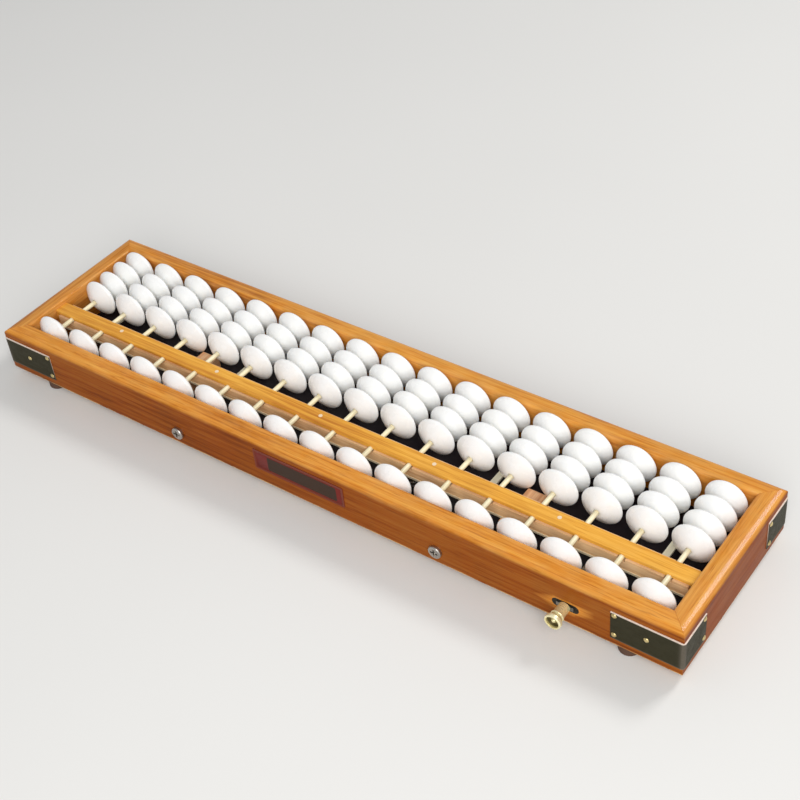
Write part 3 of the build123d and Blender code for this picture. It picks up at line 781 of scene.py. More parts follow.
@dataclass(frozen=True)
class MetalFinish:
    """Metal with blotches of tarnish, fine scratches and bright rubbed edges.

    Fields:
        name: the material's name.
        bare, tarnish, edge: the screen colours of the metal, its tarnish and its rubbed edges,
            which on the plates and the knob carry painted highlights too.
        metallic: how metallic it is.
        roughness: its least roughness before the scratches.
        blotch: the share of tarnish.
        rubbed: how even the rub on its edges is, from broken at 0 to unbroken at 1.
        shine: the strength of its plain gloss where it is not metallic.
        grain: the way its scratches run.
    """

    name: str
    bare: Colour
    tarnish: Colour
    edge: Colour
    metallic: float = 1.0
    roughness: float = 0.3
    blotch: float = 0.5
    rubbed: float = 0.0
    shine: float = 0.5
    grain: Grain = Grain.ALONG_X

    def build(self) -> bpy.types.Material:
        """Build the metal: tarnish in clouds and in grime, scratches as gloss and relief.

        Returns:
            The material.
        """
        w = Weave(self.name, self.grain)
        cloud = w.share(Pattern(fine=260.0, low=0.36, high=0.66, detail=5.0, roughness=0.62,
                                distortion=0.6))
        speck = w.share(Pattern(fine=1500.0, low=0.58, high=0.72, roughness=0.6))
        rub = w.share(Pattern(fine=900.0, low=0.30, high=0.60, roughness=0.6), self.rubbed, 1.0)
        scratch = w.share(Pattern(fine=2400.0, low=0.35, high=0.65, along=0.05))
        wear = w.layer(WEAR_AND_HIGHLIGHT)
        body = w.mix(cloud, self.bare, self.tarnish, strength=self.blotch)
        body = w.mix(speck, body, self.tarnish, strength=0.45 * self.blotch)
        # Rubbed edges, with painted highlights where the wear layer carries them
        body = w.mix(w.times(wear, rub), body, self.edge)
        body = w.mix(wear, body, self.tarnish, strength=-1.0)
        rough = w.sum_of(Sum.ADD, w.spread(scratch, 0.0, 1.0, -0.05, 0.07),
                         w.spread(cloud, 0.0, 1.0, self.roughness, self.roughness + 0.12))
        return w.finish(body, Roughness=rough, Metallic=self.metallic,
                        Normal=w.relief(scratch, depth=0.008, strength=0.4),
                        Specular_IOR_Level=self.shine)


@dataclass(frozen=True)
class PaintFinish:
    """Paint, enamel or rubber: one colour with dust, rubbed patches and a fine tooth.

    Fields:
        name: the material's name.
        colour, dust, edge: the screen colours of the coat, its dust and its rubbed edges.
        roughness: its mean roughness.
        tooth: the depth of its fine relief, in millimetres.
        tooth_scale: how many bumps lie along a metre.
        coat: the weight of a clear coat.
    """

    name: str
    colour: Colour
    dust: Colour
    edge: Colour
    roughness: float = 0.45
    tooth: float = 0.02
    tooth_scale: float = 1800.0
    coat: float = 0.0

    def build(self) -> bpy.types.Material:
        """Build the coat: drift of dust, rub marks by wear, fine tooth as relief.

        Returns:
            The material.
        """
        w = Weave(self.name)
        haze = w.share(Pattern(fine=45.0, low=0.40, high=0.70, detail=5.0, roughness=0.6,
                               distortion=0.8))
        grit = w.share(Pattern(fine=1300.0, low=0.64, high=0.76, detail=2.0))
        rub = w.spread(grit, 0.0, 1.0, 0.7, 1.0)
        body = w.mix(haze, self.colour, self.dust, strength=0.35)
        body = w.mix(grit, body, self.dust, strength=0.30)
        body = w.mix(w.times(w.layer(WEAR_AND_HIGHLIGHT), rub), body, self.edge)
        rough = w.spread(haze, 0.0, 1.0, self.roughness - 0.05, self.roughness + 0.1)
        bumps = w.noise(Pattern(fine=self.tooth_scale))
        return w.finish(body, Roughness=rough, Coat_Weight=self.coat, Coat_Roughness=0.1,
                        Normal=w.relief(bumps, depth=self.tooth, strength=0.5),
                        Specular_IOR_Level=0.12)


# Colour of rubbed rail edges, and of the painted highlight along the rails' outer bottom edge
RAIL_RUB_AND_HIGHLIGHT = (242, 196, 128)


@dataclass(frozen=True)
class Finishes:
    """Every finish of the frame, one field each, named after what it covers."""

    long_rail: WoodFinish = WoodFinish("lacquered_wood_long", Grain.ALONG_X, (238, 174, 80),
                                       (216, 140, 50), (156, 88, 28), RAIL_RUB_AND_HIGHLIGHT)
    # The end rails carry a darker painted shade on their upright faces than the long rails do
    end_rail: WoodFinish = WoodFinish("lacquered_wood_end", Grain.ALONG_Y, (230, 166, 77),
                                      (206, 132, 48), (149, 83, 28), RAIL_RUB_AND_HIGHLIGHT,
                                      side_shade=(166, 128, 112))
    beam: WoodFinish = WoodFinish("beam_wood", Grain.ALONG_X, (248, 194, 94), (238, 176, 72),
                                  (196, 126, 48), (246, 208, 140), figure=0.105)
    comb: WoodFinish = WoodFinish("comb_wood", Grain.ALONG_X, (252, 218, 174), (242, 200, 152),
                                  (208, 158, 114), (250, 222, 186), streak=700.0, lacquer=0.1,
                                  roughness=0.5)
    block: WoodFinish = WoodFinish("block_wood", Grain.ALONG_Y, (250, 214, 172), (240, 190, 146),
                                   (206, 146, 106), (248, 220, 176), streak=600.0, lacquer=0.1,
                                   roughness=0.5)
    bead: BeadFinish = BeadFinish("white_bead", (253, 252, 248), (249, 248, 243), (232, 226, 208))
    rod: FibreFinish = FibreFinish("bamboo", Grain.ALONG_Y, (250, 243, 214), (232, 218, 172),
                                   (238, 220, 172))
    board: PaintFinish = PaintFinish("black_board", (38, 32, 36), (62, 54, 56), (90, 80, 76),
                                     roughness=0.36, tooth=0.03, tooth_scale=900.0)
    strip: MetalFinish = MetalFinish("pale_strip", (246, 236, 208), (222, 204, 168),
                                     (250, 244, 224), metallic=0.15, roughness=0.4, blotch=0.3)
    bar: MetalFinish = MetalFinish("pale_bar", (252, 247, 222), (236, 224, 186),
                                   (252, 248, 230), metallic=0.1, roughness=0.36, blotch=0.3,
                                   grain=Grain.ALONG_Y)
    # Dark plate: its nearly unbroken edge colour is a painted highlight along the rubbed top edge
    plate: MetalFinish = MetalFinish("dark_plate", (52, 49, 32), (42, 38, 24), (236, 218, 204),
                                     metallic=0.05, roughness=0.42, blotch=0.35, rubbed=0.8,
                                     shine=0.1)
    nail: MetalFinish = MetalFinish("nail_brass", (226, 206, 150), (150, 130, 76),
                                    (244, 232, 190), roughness=0.30, blotch=0.4)
    screw: MetalFinish = MetalFinish("screw_steel", (196, 192, 186), (120, 112, 102),
                                     (226, 222, 214), roughness=0.26, blotch=0.45)
    steel: MetalFinish = MetalFinish("steel", (150, 148, 144), (96, 90, 82), (210, 206, 198),
                                     roughness=0.35)
    spring: MetalFinish = MetalFinish("spring_wire", (176, 174, 170), (110, 104, 96),
                                      (214, 210, 202), roughness=0.25)
    brass: MetalFinish = MetalFinish("polished_brass", (240, 224, 160), (86, 76, 42),
                                     (252, 244, 204), metallic=0.5, roughness=0.28, blotch=0.2,
                                     rubbed=0.4)
    bronze: MetalFinish = MetalFinish("dark_bronze", (58, 52, 40), (34, 30, 24), (120, 104, 70),
                                      metallic=0.7, roughness=0.42)
    pin: PaintFinish = PaintFinish("pale_pin", (240, 218, 186), (224, 196, 160), (250, 240, 224),
                                   roughness=0.4, coat=0.1)
    label_rim: PaintFinish = PaintFinish("label_rim", (100, 40, 30), (84, 38, 28),
                                         (132, 66, 48), roughness=0.42, tooth=0.01)
    label_field: PaintFinish = PaintFinish("label_field", (116, 40, 34), (98, 40, 32),
                                           (132, 60, 48), roughness=0.42, tooth=0.015)
    label_panel: PaintFinish = PaintFinish("label_panel", (60, 44, 34), (74, 54, 40),
                                           (92, 66, 50), roughness=0.45, tooth=0.015)
    rubber: PaintFinish = PaintFinish("foot_rubber", (92, 68, 56), (104, 82, 70), (110, 90, 78),
                                      roughness=0.7, tooth=0.05, tooth_scale=1200.0)

    def built(self) -> Looks:
        """Build every finish once and return the materials by field name."""
        return {entry.name: getattr(self, entry.name).build() for entry in fields(self)}


# Sub-assemblies


@dataclass
class RailFrame:
    """The four lacquered rails, mitred at the corners.

    Fields:
        half_length, half_depth, middle_y: the frame's outer faces, in millimetres.
        width, bottom, top: a rail's section.
        rebate, board_top: the step that holds the floor board.
        round_over, round_down: the half sizes of the outer top rounding.
        ease: the small rounding of the bottom edge.
        inner_ease: the rounding of the inner top edge.
        face_gaps: how far the face's own points stay from the top rounding and the bottom.
        joint_ease: the small bevel on each side of a mitre.
        joint_wear: how rubbed that bevel is.
        inner_side_shade: how strong the painted shade is on the inner face, next to the outer one.
            side_shade_start, side_shade_run: where the painted shade begins below the top and how
                soon
            it is full, as shares of the rounding's depth.
        slot_x, slot_z, slot_length, slot_height: the pull's slot in the front rail.
        stations: how many rings a rail has between its mitres.
    """

    half_length: float = HALF_LENGTH
    half_depth: float = HALF_DEPTH
    middle_y: float = MIDDLE_Y
    width: float = 9.5
    bottom: float = 4.5
    top: float = 28.7
    rebate: float = 3.6
    board_top: float = 6.9
    round_over: float = 6.5
    round_down: float = 2.3
    ease: float = 0.5
    inner_ease: float = 1.1
    face_gaps: Tuple[float, float] = (0.4, 1.0)
    joint_ease: float = 0.14
    joint_wear: float = 0.3
    inner_side_shade: float = 0.35
    side_shade_start: float = 0.45
    side_shade_run: float = 0.5
    slot_x: float = PULL_X
    slot_z: float = PULL_Z
    slot_length: float = 12.5
    slot_height: float = 4.4
    stations: int = 40

    def section(self) -> Tuple[np.ndarray, np.ndarray, np.ndarray]:
        """Draw a rail's section as (distance in from the outer face, height).

        Straight runs joined by quarter arcs: a wide elliptical one at the outer top, small
        round ones at the inner top and at the bottom. Painted shade is full on the outer upright
        face, weaker on the inner one, and fades out over the last part of the outer rounding.

        Returns:
            The section's points, how rubbed each of them is (the outer bottom edge's full share is
            a painted highlight) and how much painted shade each has.
        """
        inner_low = self.width - self.rebate
        round_foot = self.top - self.round_down
        face = np.linspace(round_foot - self.face_gaps[0], self.bottom + self.face_gaps[1], 6)
        points, wear = joined([
            # Outer bottom edge: full share, a painted highlight broken up like a rub
            (arc_points(self.ease, self.bottom + self.ease, self.ease, 180.0, 270.0, 6), 1.0),
            (np.array([[inner_low, self.bottom], [inner_low, self.board_top],
                       [self.width, self.board_top]]), 0.0),
            (arc_points(self.width - self.inner_ease, self.top - self.inner_ease,
                        self.inner_ease, 0.0, 90.0, 8), 0.3),
            (arc_points(self.round_over, round_foot, (self.round_over, self.round_down),
                        90.0, 180.0, 20), 0.15),
            (np.stack([np.zeros(len(face)), face], axis=-1), 0.0),
        ])
        # Painted shade: full on the outer upright face, weaker on the inner one, fading out up the
        # outer rounding
        depth = (self.top - points[:, 1]) / self.round_down
        side_shade = np.where(points[:, 0] > self.width / 2, self.inner_side_shade, 1.0)
        return points, wear, side_shade * np.clip((depth - self.side_shade_start) / self.side_shade_run, 0, 1)

    def rail(self, name: str, along_x: bool, side: int) -> Piece:
        """Carry the section along one side of the frame to its mitres.

        At a section point that lies w in from the outer face, the rail's half length is that
        of the frame less w, which makes the mitre. The last ring at each end is drawn in a
        little towards the section's middle, which bevels the joint.

        Args:
            name: the piece's name.
            along_x: whether the rail runs along X, as the long ones do.
            side: -1 for the front or left rail, 1 for the back or right one.

        Returns:
            The piece.
        """
        section, wear, tone = self.section()
        inward = section.mean(axis=0) - section
        drawn = section + inward / np.linalg.norm(inward, axis=1)[:, None] * self.joint_ease
        rings = [(-1.0, 0.0, drawn)]
        rings += [(s, self.joint_ease, section) for s in np.linspace(-1.0, 1.0, self.stations)]
        rings += [(1.0, 0.0, drawn)]
        half, other = self.half_length, self.half_depth
        if not along_x:
            half, other = other, half
        stack = []
        for s, short, shape in rings:
            run = s * (half - short - shape[:, 0])
            across = side * (other - shape[:, 0])
            x, y = (run, across) if along_x else (across, run)
            stack.append(np.stack([x, self.middle_y + y, shape[:, 1]], axis=-1))
        shares = np.tile(wear, (len(rings), 1))
        shares[[0, -1]] = self.joint_wear
        shell = tube_shell(np.array(stack), shares)
        # The painted shade of each section point, repeated on every ring
        shell.tone = np.tile(tone, len(rings))
        return Piece(name, [shell])

    def slot_cutter(self) -> Piece:
        """Draw the pull's slot as a bar with half-round ends that passes through the rail.

        Returns:
            The bar, from one rail's width before the front face to two behind it.
        """
        radius = self.slot_height / 2
        reach = self.slot_length / 2 - radius
        outline = np.vstack([
            arc_points(self.slot_x + way * reach, self.slot_z, radius, start, start + 180.0, 17)
            for way, start in ((1, -90.0), (-1, 90.0))])
        face = self.middle_y - self.half_depth
        rings = [standing(outline, y) for y in (face - self.width, face + 2 * self.width)]
        return Piece("slot_cutter", [tube_shell(np.array(rings))])

    def build(self, looks: Looks) -> None:
        """Build, cut, dress and place the four rails.

        Args:
            looks: the materials by field name.
        """
        rows = (("front_rail", True, -1), ("back_rail", True, 1),
                ("left_end_rail", False, -1), ("right_end_rail", False, 1))
        for node, along_x, side in rows:
            piece = self.rail("wood_" + node, along_x, side)
            thing = piece.build()
            if node == "front_rail":
                cut_away(thing, self.slot_cutter().build(), piece.crease)
            finish = looks["long_rail" if along_x else "end_rail"]
            take_place(thing, finish, node, "frame")


@dataclass
class BeadRows:
    """The seventeen upper beads and the seventeen rows of four lower beads.

    Fields:
        pitch, count: the rods' spacing and number.
        radius, thickness, bore: a bead's sizes.
        flat: the radius of its flat end face.
        rim: the width of its rim before the rounding.
        rim_round: how far in from the rim its faces start.
        bulge: how far its faces stand out from straight cones.
        rod_height: the height of the rods' middle.
        ease, spacing: how far the rounding of its corners reaches, and how finely it is done.
        grime, grime_power: how grimy it is at the bore, and how fast that fades.
        upper_y: the place of the upper beads' middle.
        lower_y: the place of the rearmost lower beads' middle.
        step, lower_count: the spacing and number of the lower beads on a rod.
        face_steps, rim_steps: how finely its face and its rim are drawn before the rounding.
        turns, outline: the grid of one bead.
        crease: its edges sharper than this angle, in degrees, stay sharp.
    """

    pitch: float = 21.0
    count: int = 17
    radius: float = 9.75
    thickness: float = 9.74
    bore: float = 1.25
    flat: float = 2.5
    rim: float = 1.8
    rim_round: float = 0.7
    bulge: float = 0.25
    rod_height: float = 24.15
    ease: float = 1.0
    spacing: float = 0.05
    grime: float = 0.4
    grime_power: float = 1.5
    upper_y: float = -27.005
    lower_y: float = 35.605
    step: float = 9.79
    lower_count: int = 4
    face_steps: int = 40
    rim_steps: int = 12
    turns: int = 60
    outline: int = 46
    crease: float = 60.0

    def half_section(self) -> np.ndarray:
        """Draw one half of the bead's section from its bore out to the rim.

        The face is a straight cone from the flat to the rim, and a point at share t of it is
        moved out by the bulge times 4t(1 - t). The rim is a half ellipse.

        Returns:
            The points as (radius, height), height falling from half the thickness to zero.
        """
        half, half_rim = self.thickness / 2, self.rim / 2
        start = self.radius - self.rim_round
        share = np.linspace(0.0, 1.0, self.face_steps)
        run, fall = start - self.flat, half - half_rim
        slope = math.hypot(run, fall)
        lift = self.bulge * 4.0 * share * (1.0 - share)
        face = np.stack([self.flat + run * share + lift * fall / slope,
                         half - fall * share + lift * run / slope], axis=-1)
        rim = arc_points(start, 0.0, (self.rim_round, half_rim), 90.0, 0.0, self.rim_steps)[1:]
        return np.vstack([[[self.bore, half]], face, rim])

    def section(self) -> Tuple[np.ndarray, np.ndarray]:
        """Mirror the half section, ease its corners and give the grime by the bore.

        Returns:
            The closed section's points, and how grimy each of them is.
        """
        half = self.half_section()
        mirrored = (half * np.array([1.0, -1.0]))[::-1][1:]
        smooth = eased_outline(np.vstack([half, mirrored]), self.ease, self.outline,
                               self.spacing)
        smooth[:, 0] = np.maximum(smooth[:, 0], self.bore)
        near = np.clip((self.flat - smooth[:, 0]) / (self.flat - self.bore), 0.0, 1.0)
        return smooth, self.grime * near**self.grime_power

    def build(self, looks: Looks) -> None:
        """Build, dress and place every bead; a row of four is one piece, as its body is.

        Args:
            looks: the materials by field name.
        """
        section, grime = self.section()
        lower = [self.lower_y - k * self.step for k in range(self.lower_count)]
        for index in range(self.count):
            x = (index - (self.count - 1) / 2) * self.pitch
            for kind, places in (("upper_bead", [self.upper_y]), ("lower_beads", lower)):
                node = f"{kind}_{index + 1:02d}"
                shells = [ring_shell(section, (x, y, self.rod_height), self.turns, grime)
                          for y in places]
                thing = Piece("white_" + node, shells, self.crease).build()
                take_place(thing, looks["bead"], node, node)


@dataclass
class PullKnob:
    """The turned brass knob with its hollow end and the rivet inside it.

    Fields:
        x, z: the place of its axis.
        base: the place of its foot along Y.
        length: its length.
        body, flange: the radii of its body and its end flange.
        flange_depth: the flange's thickness.
        foot_ease: the bevel of its foot.
        ring_place, ring_out, ring_half: the turned ring's place, height and half width.
        body_places: the places of the body's other points, the last behind the ring.
        neck_run: the length of the hollow curve from the body to the flange.
        flange_round, lip_round, mouth_round: the flange's roundings, from the neck to the
            hollow.
        hollow, hollow_depth: the radius and the depth of the hollow in its end.
        wall_slope, floor_round: the hollow's taper, and its rounding at the floor.
        rivet, rivet_height, rivet_gap: the rivet's head and the plain ring round it.
        turns: how many steps go round.
    """

    x: float = PULL_X
    z: float = PULL_Z
    base: float = FRONT - 0.5
    length: float = 9.8
    body: float = 2.6
    flange: float = 3.8
    flange_depth: float = 2.0
    foot_ease: float = 0.1
    ring_place: float = 5.7
    ring_out: float = 0.42
    ring_half: float = 0.45
    body_places: Tuple[float, float, float] = (2.4, 5.0, 6.5)
    neck_run: float = 0.6
    flange_round: float = 0.5
    lip_round: float = 0.45
    mouth_round: float = 0.2
    hollow: float = 2.85
    hollow_depth: float = 1.7
    wall_slope: float = 0.1
    floor_round: float = 0.3
    rivet: float = 1.1
    rivet_height: float = 1.1
    rivet_gap: float = 0.25
    turns: int = 72

    def profile(self) -> Tuple[np.ndarray, np.ndarray]:
        """Draw the knob's profile as (radius, distance out from the rail).

        From the foot outwards: the straight body with one turned ring near its end, the
        flange with rounded rims, and the sunk, grimy end with the rivet on the axis.

        Returns:
            The profile's points, and how rubbed each of them is, on the body partly painted light;
            below zero it is grimy.
        """
        start = self.length - self.flange_depth
        floor = self.length - self.hollow_depth
        low, high, behind = self.body_places
        shoulder, lip = self.flange - self.flange_round, self.flange - self.lip_round
        wall = self.hollow - self.wall_slope
        points, wear = joined([
            (np.array([[0.0, 0.0], [self.body - self.foot_ease, 0.0]]), 0.0),
            # Body: rubbed brass, lightened further with painted light
            (np.array([[self.body, self.foot_ease], [self.body, low], [self.body, high]]), 0.35),
            (arc_points(self.body, self.ring_place, (self.ring_out, self.ring_half),
                        -80.0, 80.0, 9), 0.7),
            (np.array([[self.body, behind]]), 0.0),
            (arc_points(shoulder, start - self.neck_run,
                        (shoulder - self.body, self.neck_run), 180.0, 90.0, 7), -0.1),
            (arc_points(shoulder, start + self.flange_round, self.flange_round,
                        -90.0, 0.0, 7)[1:], 0.7),
            (arc_points(lip, self.length - self.lip_round, self.lip_round, 0.0, 90.0, 7), 1.0),
            (arc_points(self.hollow + self.mouth_round, self.length - self.mouth_round,
                        self.mouth_round, 90.0, 180.0, 5), 0.3),
            (np.array([[wall, floor + self.floor_round + self.wall_slope]]), -0.9),
            (arc_points(wall - self.floor_round, floor + self.floor_round, self.floor_round,
                        0.0, -90.0, 6), -1.0),
            (np.array([[self.rivet + self.rivet_gap, floor]]), -0.9),
            (arc_points(0.0, floor, (self.rivet, self.rivet_height), 0.0, 90.0, 10), 0.5),
        ])
        points[-1, 0] = 0.0
        return points * np.array([1.0, -1.0]), wear

    def build(self, looks: Looks) -> None:
        """Build, dress and place the knob.

        Args:
            looks: the materials by field name.
        """
        profile, wear = self.profile()
        shell = turned_shell(profile, (self.x, self.base, self.z), self.turns, wear)
        thing = Piece("brass_knob", [shell]).build()
        take_place(thing, looks["brass"], "pull_knob", "clearing_pull")


@dataclass
class CornerPlates:
    """Thin dark plates folded round the frame's corners and pressed in at their nails.

    Fields:
        half_length, half_depth, middle_y: the frame's outer faces.
        long_leg, short_leg: how far a plate reaches from the corner.
        low, height: the plate's bottom edge and its height.
        thickness: the sheet.
        edge_ease: the rounding of its outer edges.
        fold: the fold's inner radius.
        fold_highlight, fold_reach: how strong the painted highlight on the fold is, and how far
            from it that goes.
        dimple, dimple_reach: the depth and size of the hollow at a nail.
        long_nails, short_nails: nail places as (distance from the corner, height on the plate).
        steps: the points along the long leg, the short leg, the fold and the height.
    """

    half_length: float = HALF_LENGTH
    half_depth: float = HALF_DEPTH
    middle_y: float = MIDDLE_Y
    long_leg: float = 31.5
    short_leg: float = 18.0
    low: float = 8.5
    height: float = 15.2
    thickness: float = 0.5
    edge_ease: float = 0.14
    fold: float = 0.9
    fold_highlight: float = 0.1
    fold_reach: float = 1.4
    dimple: float = 0.16
    dimple_reach: float = 1.9
    long_nails: tuple = ((29.9, 13.6), (29.9, 2.4), (15.75, 8.0))
    short_nails: tuple = ((16.4, 13.6), (16.4, 2.4))
    steps: Tuple[int, int, int, int] = (90, 54, 11, 26)

    def path(self) -> Tuple[np.ndarray, np.ndarray, np.ndarray]:
        """Lay out the plate's line round a corner seen from above.

        The corner is at zero; the long leg runs along the first axis and the short one along
        the second. A quarter circle of the fold's radius joins them.

        Returns:
            The points on the wood's face, the outward ways there and the run from the corner,
            negative on the short leg.
        """
        r = self.fold
        long_run = np.linspace(self.long_leg, r, self.steps[0])
        short_run = np.linspace(r, self.short_leg, self.steps[1])
        turn = arc_points(0.0, 0.0, (1.0, -1.0), 90.0, 180.0, self.steps[2])[1:-1]
        points = np.vstack([
            np.stack([long_run, np.zeros_like(long_run)], axis=-1),
            r + r * turn,
            np.stack([np.zeros_like(short_run), short_run], axis=-1),
        ])
        ways = np.vstack([np.tile([0.0, -1.0], (len(long_run), 1)), turn,
                          np.tile([-1.0, 0.0], (len(short_run), 1))])
        return points, ways, np.concatenate([long_run, np.zeros(len(turn)), -short_run])

    def section(self) -> Tuple[np.ndarray, np.ndarray]:
        """Draw the sheet's section, with eased outer edges.

        Returns:
            The points as (out from the wood, height), and how rubbed each of them is; along the
            top edge the full share is a painted highlight as well as a rub.
        """
        ease, t, h = self.edge_ease, self.thickness, self.height
        outer = np.linspace(ease, h - ease, self.steps[3])[1:-1]
        return joined([
            (np.array([[0.0, 0.0]]), 0.0),
            (arc_points(t - ease, ease, ease, -90.0, 0.0, 4), 0.1),
            (np.stack([np.full(len(outer), t), outer], axis=-1), 0.0),
            # Top edge: rubbed, with a painted highlight
            (arc_points(t - ease, h - ease, ease, 0.0, 90.0, 4), 1.0),
            (np.array([[0.0, h]]), 1.0),
        ])

    def plate(self, sx: int, sy: int) -> Shell:
        """Carry the section round one corner and press it in at the nails.

        The sheet's outer face sinks by the dimple times e to the minus square of the distance
        from the nail over the dimple's reach. The painted highlight at the fold fades in the same
        way.

        Args:
            sx, sy: the corner's signs.

        Returns:
            The closed shell.
        """
        base, ways, run = self.path()
        section, wear = self.section()
        out = np.tile(section[:, 0], (len(base), 1))
        high = np.tile(section[:, 1], (len(base), 1))
        nails = [(d, h) for d, h in self.long_nails] + [(-d, h) for d, h in self.short_nails]
        facing = out > self.thickness / 2
        for distance, height in nails:
            gap = np.hypot(run[:, None] - distance, high - height)
            out = out - facing * self.dimple * np.exp(-((gap / self.dimple_reach) ** 2))
        x = base[:, 0][:, None] + ways[:, 0][:, None] * out
        y = base[:, 1][:, None] + ways[:, 1][:, None] * out
        points = np.stack([sx * (self.half_length - x), self.middle_y + sy * (self.half_depth - y),
                           self.low + high], axis=-1)
        # Painted highlight along the fold, fading away from it
        fold = np.exp(-((np.abs(run) / self.fold_reach) ** 2))[:, None]
        shares = np.tile(wear, (len(base), 1)) + self.fold_highlight * fold
        return tube_shell(points, np.clip(shares, 0.0, 1.0))

    def build(self, looks: Looks) -> None:
        """Build, dress and place the four plates.

        Args:
            looks: the materials by field name.
        """
        for sy, depth in ((-1, "front"), (1, "back")):
            for sx, side in ((-1, "left"), (1, "right")):
                thing = Piece(f"corner_plate_{depth}_{side}", [self.plate(sx, sy)]).build()
                take_place(thing, looks["plate"], "corner_plates", "frame")


@dataclass
class LabelPlate:
    """The small plate on the front rail, left plain inside its raised rim.

    Fields:
        front: the rail's front face.
        middle_z: the height of its middle.
        size: its length and height.
        corner, least_corner: its corner radius, and the least one inside it.
        thickness: how far its rim stands out.
        sunk: how far its field lies behind the rim.
        rim: the rim's width.
        rim_ease: the bevel of the rim's outer edge.
        slope_run, slope_drop: the slope of its inner edge.
        field_ease: the bevel of the field's edge.
        panel_size, panel_shift: the plain dark panel painted on the field.
        panel_lift: how far the panel's paint stands out from the field.
    """

    front: float = FRONT
    middle_z: float = 18.35
    size: Tuple[float, float] = (51.0, 11.7)
    corner: float = 0.8
    least_corner: float = 0.12
    thickness: float = 0.4
    sunk: float = 0.18
    rim: float = 1.3
    rim_ease: float = 0.12
    slope_run: float = 0.2
    slope_drop: float = 0.16
    field_ease: float = 0.05
    panel_size: Tuple[float, float] = (39.0, 7.9)
    panel_shift: float = 2.0
    panel_lift: float = 0.05

    def ring(self, size: Tuple[float, float], inset: float, y: float,
             shift: float = 0.0) -> np.ndarray:
        """Stand a rectangle with rounded corners upright, drawn in by an inset.

        Args:
            size: the rectangle's length and height.
            inset: how far inside the rectangle's edge the ring runs.
            y: its place along Y.
            shift: how far its middle lies along X.

        Returns:
            The points, always the same number of them.
        """
        r = max(self.corner - inset, self.least_corner)
        w, h = (full / 2 - inset - r for full in size)
        corners = ((1, 1, 0.0), (-1, 1, 90.0), (-1, -1, 180.0), (1, -1, 270.0))
        outline = np.vstack([arc_points(sx * w, sz * h, r, start, start + 90.0, 7)
                             for sx, sz, start in corners])
        return standing(outline + np.array([shift, self.middle_z]), y)

    def moulding(self) -> Shell:
        """Build the rim as a closed moulding round the field.

        Returns:
            The closed shell.
        """
        t = self.thickness
        steps = ((0.0, 0.0, 0.4), (0.0, t - self.rim_ease, 0.8), (self.rim_ease, t, 1.0),
                 (self.rim - self.slope_run, t, 0.4), (self.rim, t - self.slope_drop, 0.9),
                 (self.rim, 0.0, 0.0))
        rings = np.array([self.ring(self.size, inset, self.front - out)
                          for inset, out, _ in steps])
        faces = grid_faces(len(steps), rings.shape[1], True).tolist()
        wear = np.repeat([share for *_, share in steps], rings.shape[1])
        return Shell(rings.reshape(-1, 3), faces, wear).outward()

    def build(self, looks: Looks) -> None:
        """Build the rim, the field inside it and the panel as a thin sheet on the field.

        Args:
            looks: the materials by field name.
        """
        face = self.front - (self.thickness - self.sunk)
        ease, thin = self.field_ease, self.panel_lift / 2
        sheet = [self.ring(self.size, inset, y) for inset, y in
                 ((self.rim, self.front), (self.rim, face + ease), (self.rim + ease, face))]
        panel = [self.ring(self.panel_size, inset, face - out, self.panel_shift)
                 for inset, out in ((0.0, 0.0), (0.0, thin), (thin, self.panel_lift))]
        for name, shell in (("label_rim", self.moulding()),
                            ("label_field", tube_shell(np.array(sheet))),
                            ("label_panel", tube_shell(np.array(panel)))):
            take_place(Piece(name, [shell]).build(), looks[name], "label_plate", "frame")


@dataclass
class PlainNodes:
    """The solids that are shown as they are, each with its finish.

    Fields:
        looks_of: the finish of each node.
    """

    looks_of: Dict[str, str] = field(default_factory=lambda: {
        "beam": "beam", "unit_dots": "pin", "rods": "rod", "upper_comb": "comb",
        "lower_comb": "comb", "upper_carrier": "strip", "lower_carrier": "strip",
        "cross_bars": "bar", "guide_blocks": "block", "pull_bar": "steel",
        "slot_liner": "bronze", "left_lever": "steel", "right_lever": "steel",
        "lever_pivots": "steel", "return_springs": "spring", "plate_nails": "nail",
        "frame_screws": "screw", "feet": "rubber", "floor_board": "board",
    })

    def build(self, looks: Looks) -> None:
        """Dress each node's own object.

        Args:
            looks: the materials by field name.
        """
        for node, look in self.looks_of.items():
            dress(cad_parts[node], looks[look])
            LOG.info("node %s: finish %s", node, look)


# Studio


def aim(thing: bpy.types.Object, place: Point, back: np.ndarray, roll: float = 0.0) -> None:
    """Hang a lamp or a camera so that a given way lies behind it.

    With no roll its own X, s, is level and its own Y, u, is square to s and to the way back.
    A roll of r makes them s cos r + u sin r and u cos r - s sin r.

    Args:
        thing: the lamp or camera.
        place: where it hangs, in metres.
        back: the way that lies behind it.
        roll: its turn round that way, in radians.
    """
    back = back / np.linalg.norm(back)
    side = np.cross((0.0, 0.0, 1.0), back)
    side = side / np.linalg.norm(side)
    up = np.cross(back, side)
    across = side * math.cos(roll) + up * math.sin(roll)
    over = up * math.cos(roll) - side * math.sin(roll)
    turned = Matrix((across, over, back)).transposed().to_4x4()
    turned.translation = place
    thing.matrix_world = turned


@dataclass
class Lamp:
    """One soft square lamp that looks at the floor's middle, where the object stands.

    Fields:
        name: its name.
        place: where it hangs, in metres.
        size: its side, in metres.
        power: its power, in watts.
        colour: its linear colour.
    """

    name: str
    place: Point
    size: float
    power: float
    colour: Point = (1.0, 0.995, 0.985)

    def build(self) -> None:
        """Hang the lamp."""
        data = bpy.data.lights.new(self.name, "AREA")
        data.shape = "SQUARE"
        data.size = self.size
        data.energy = self.power
        data.color = self.colour
        aim(linked(self.name, data), self.place, np.array(self.place))


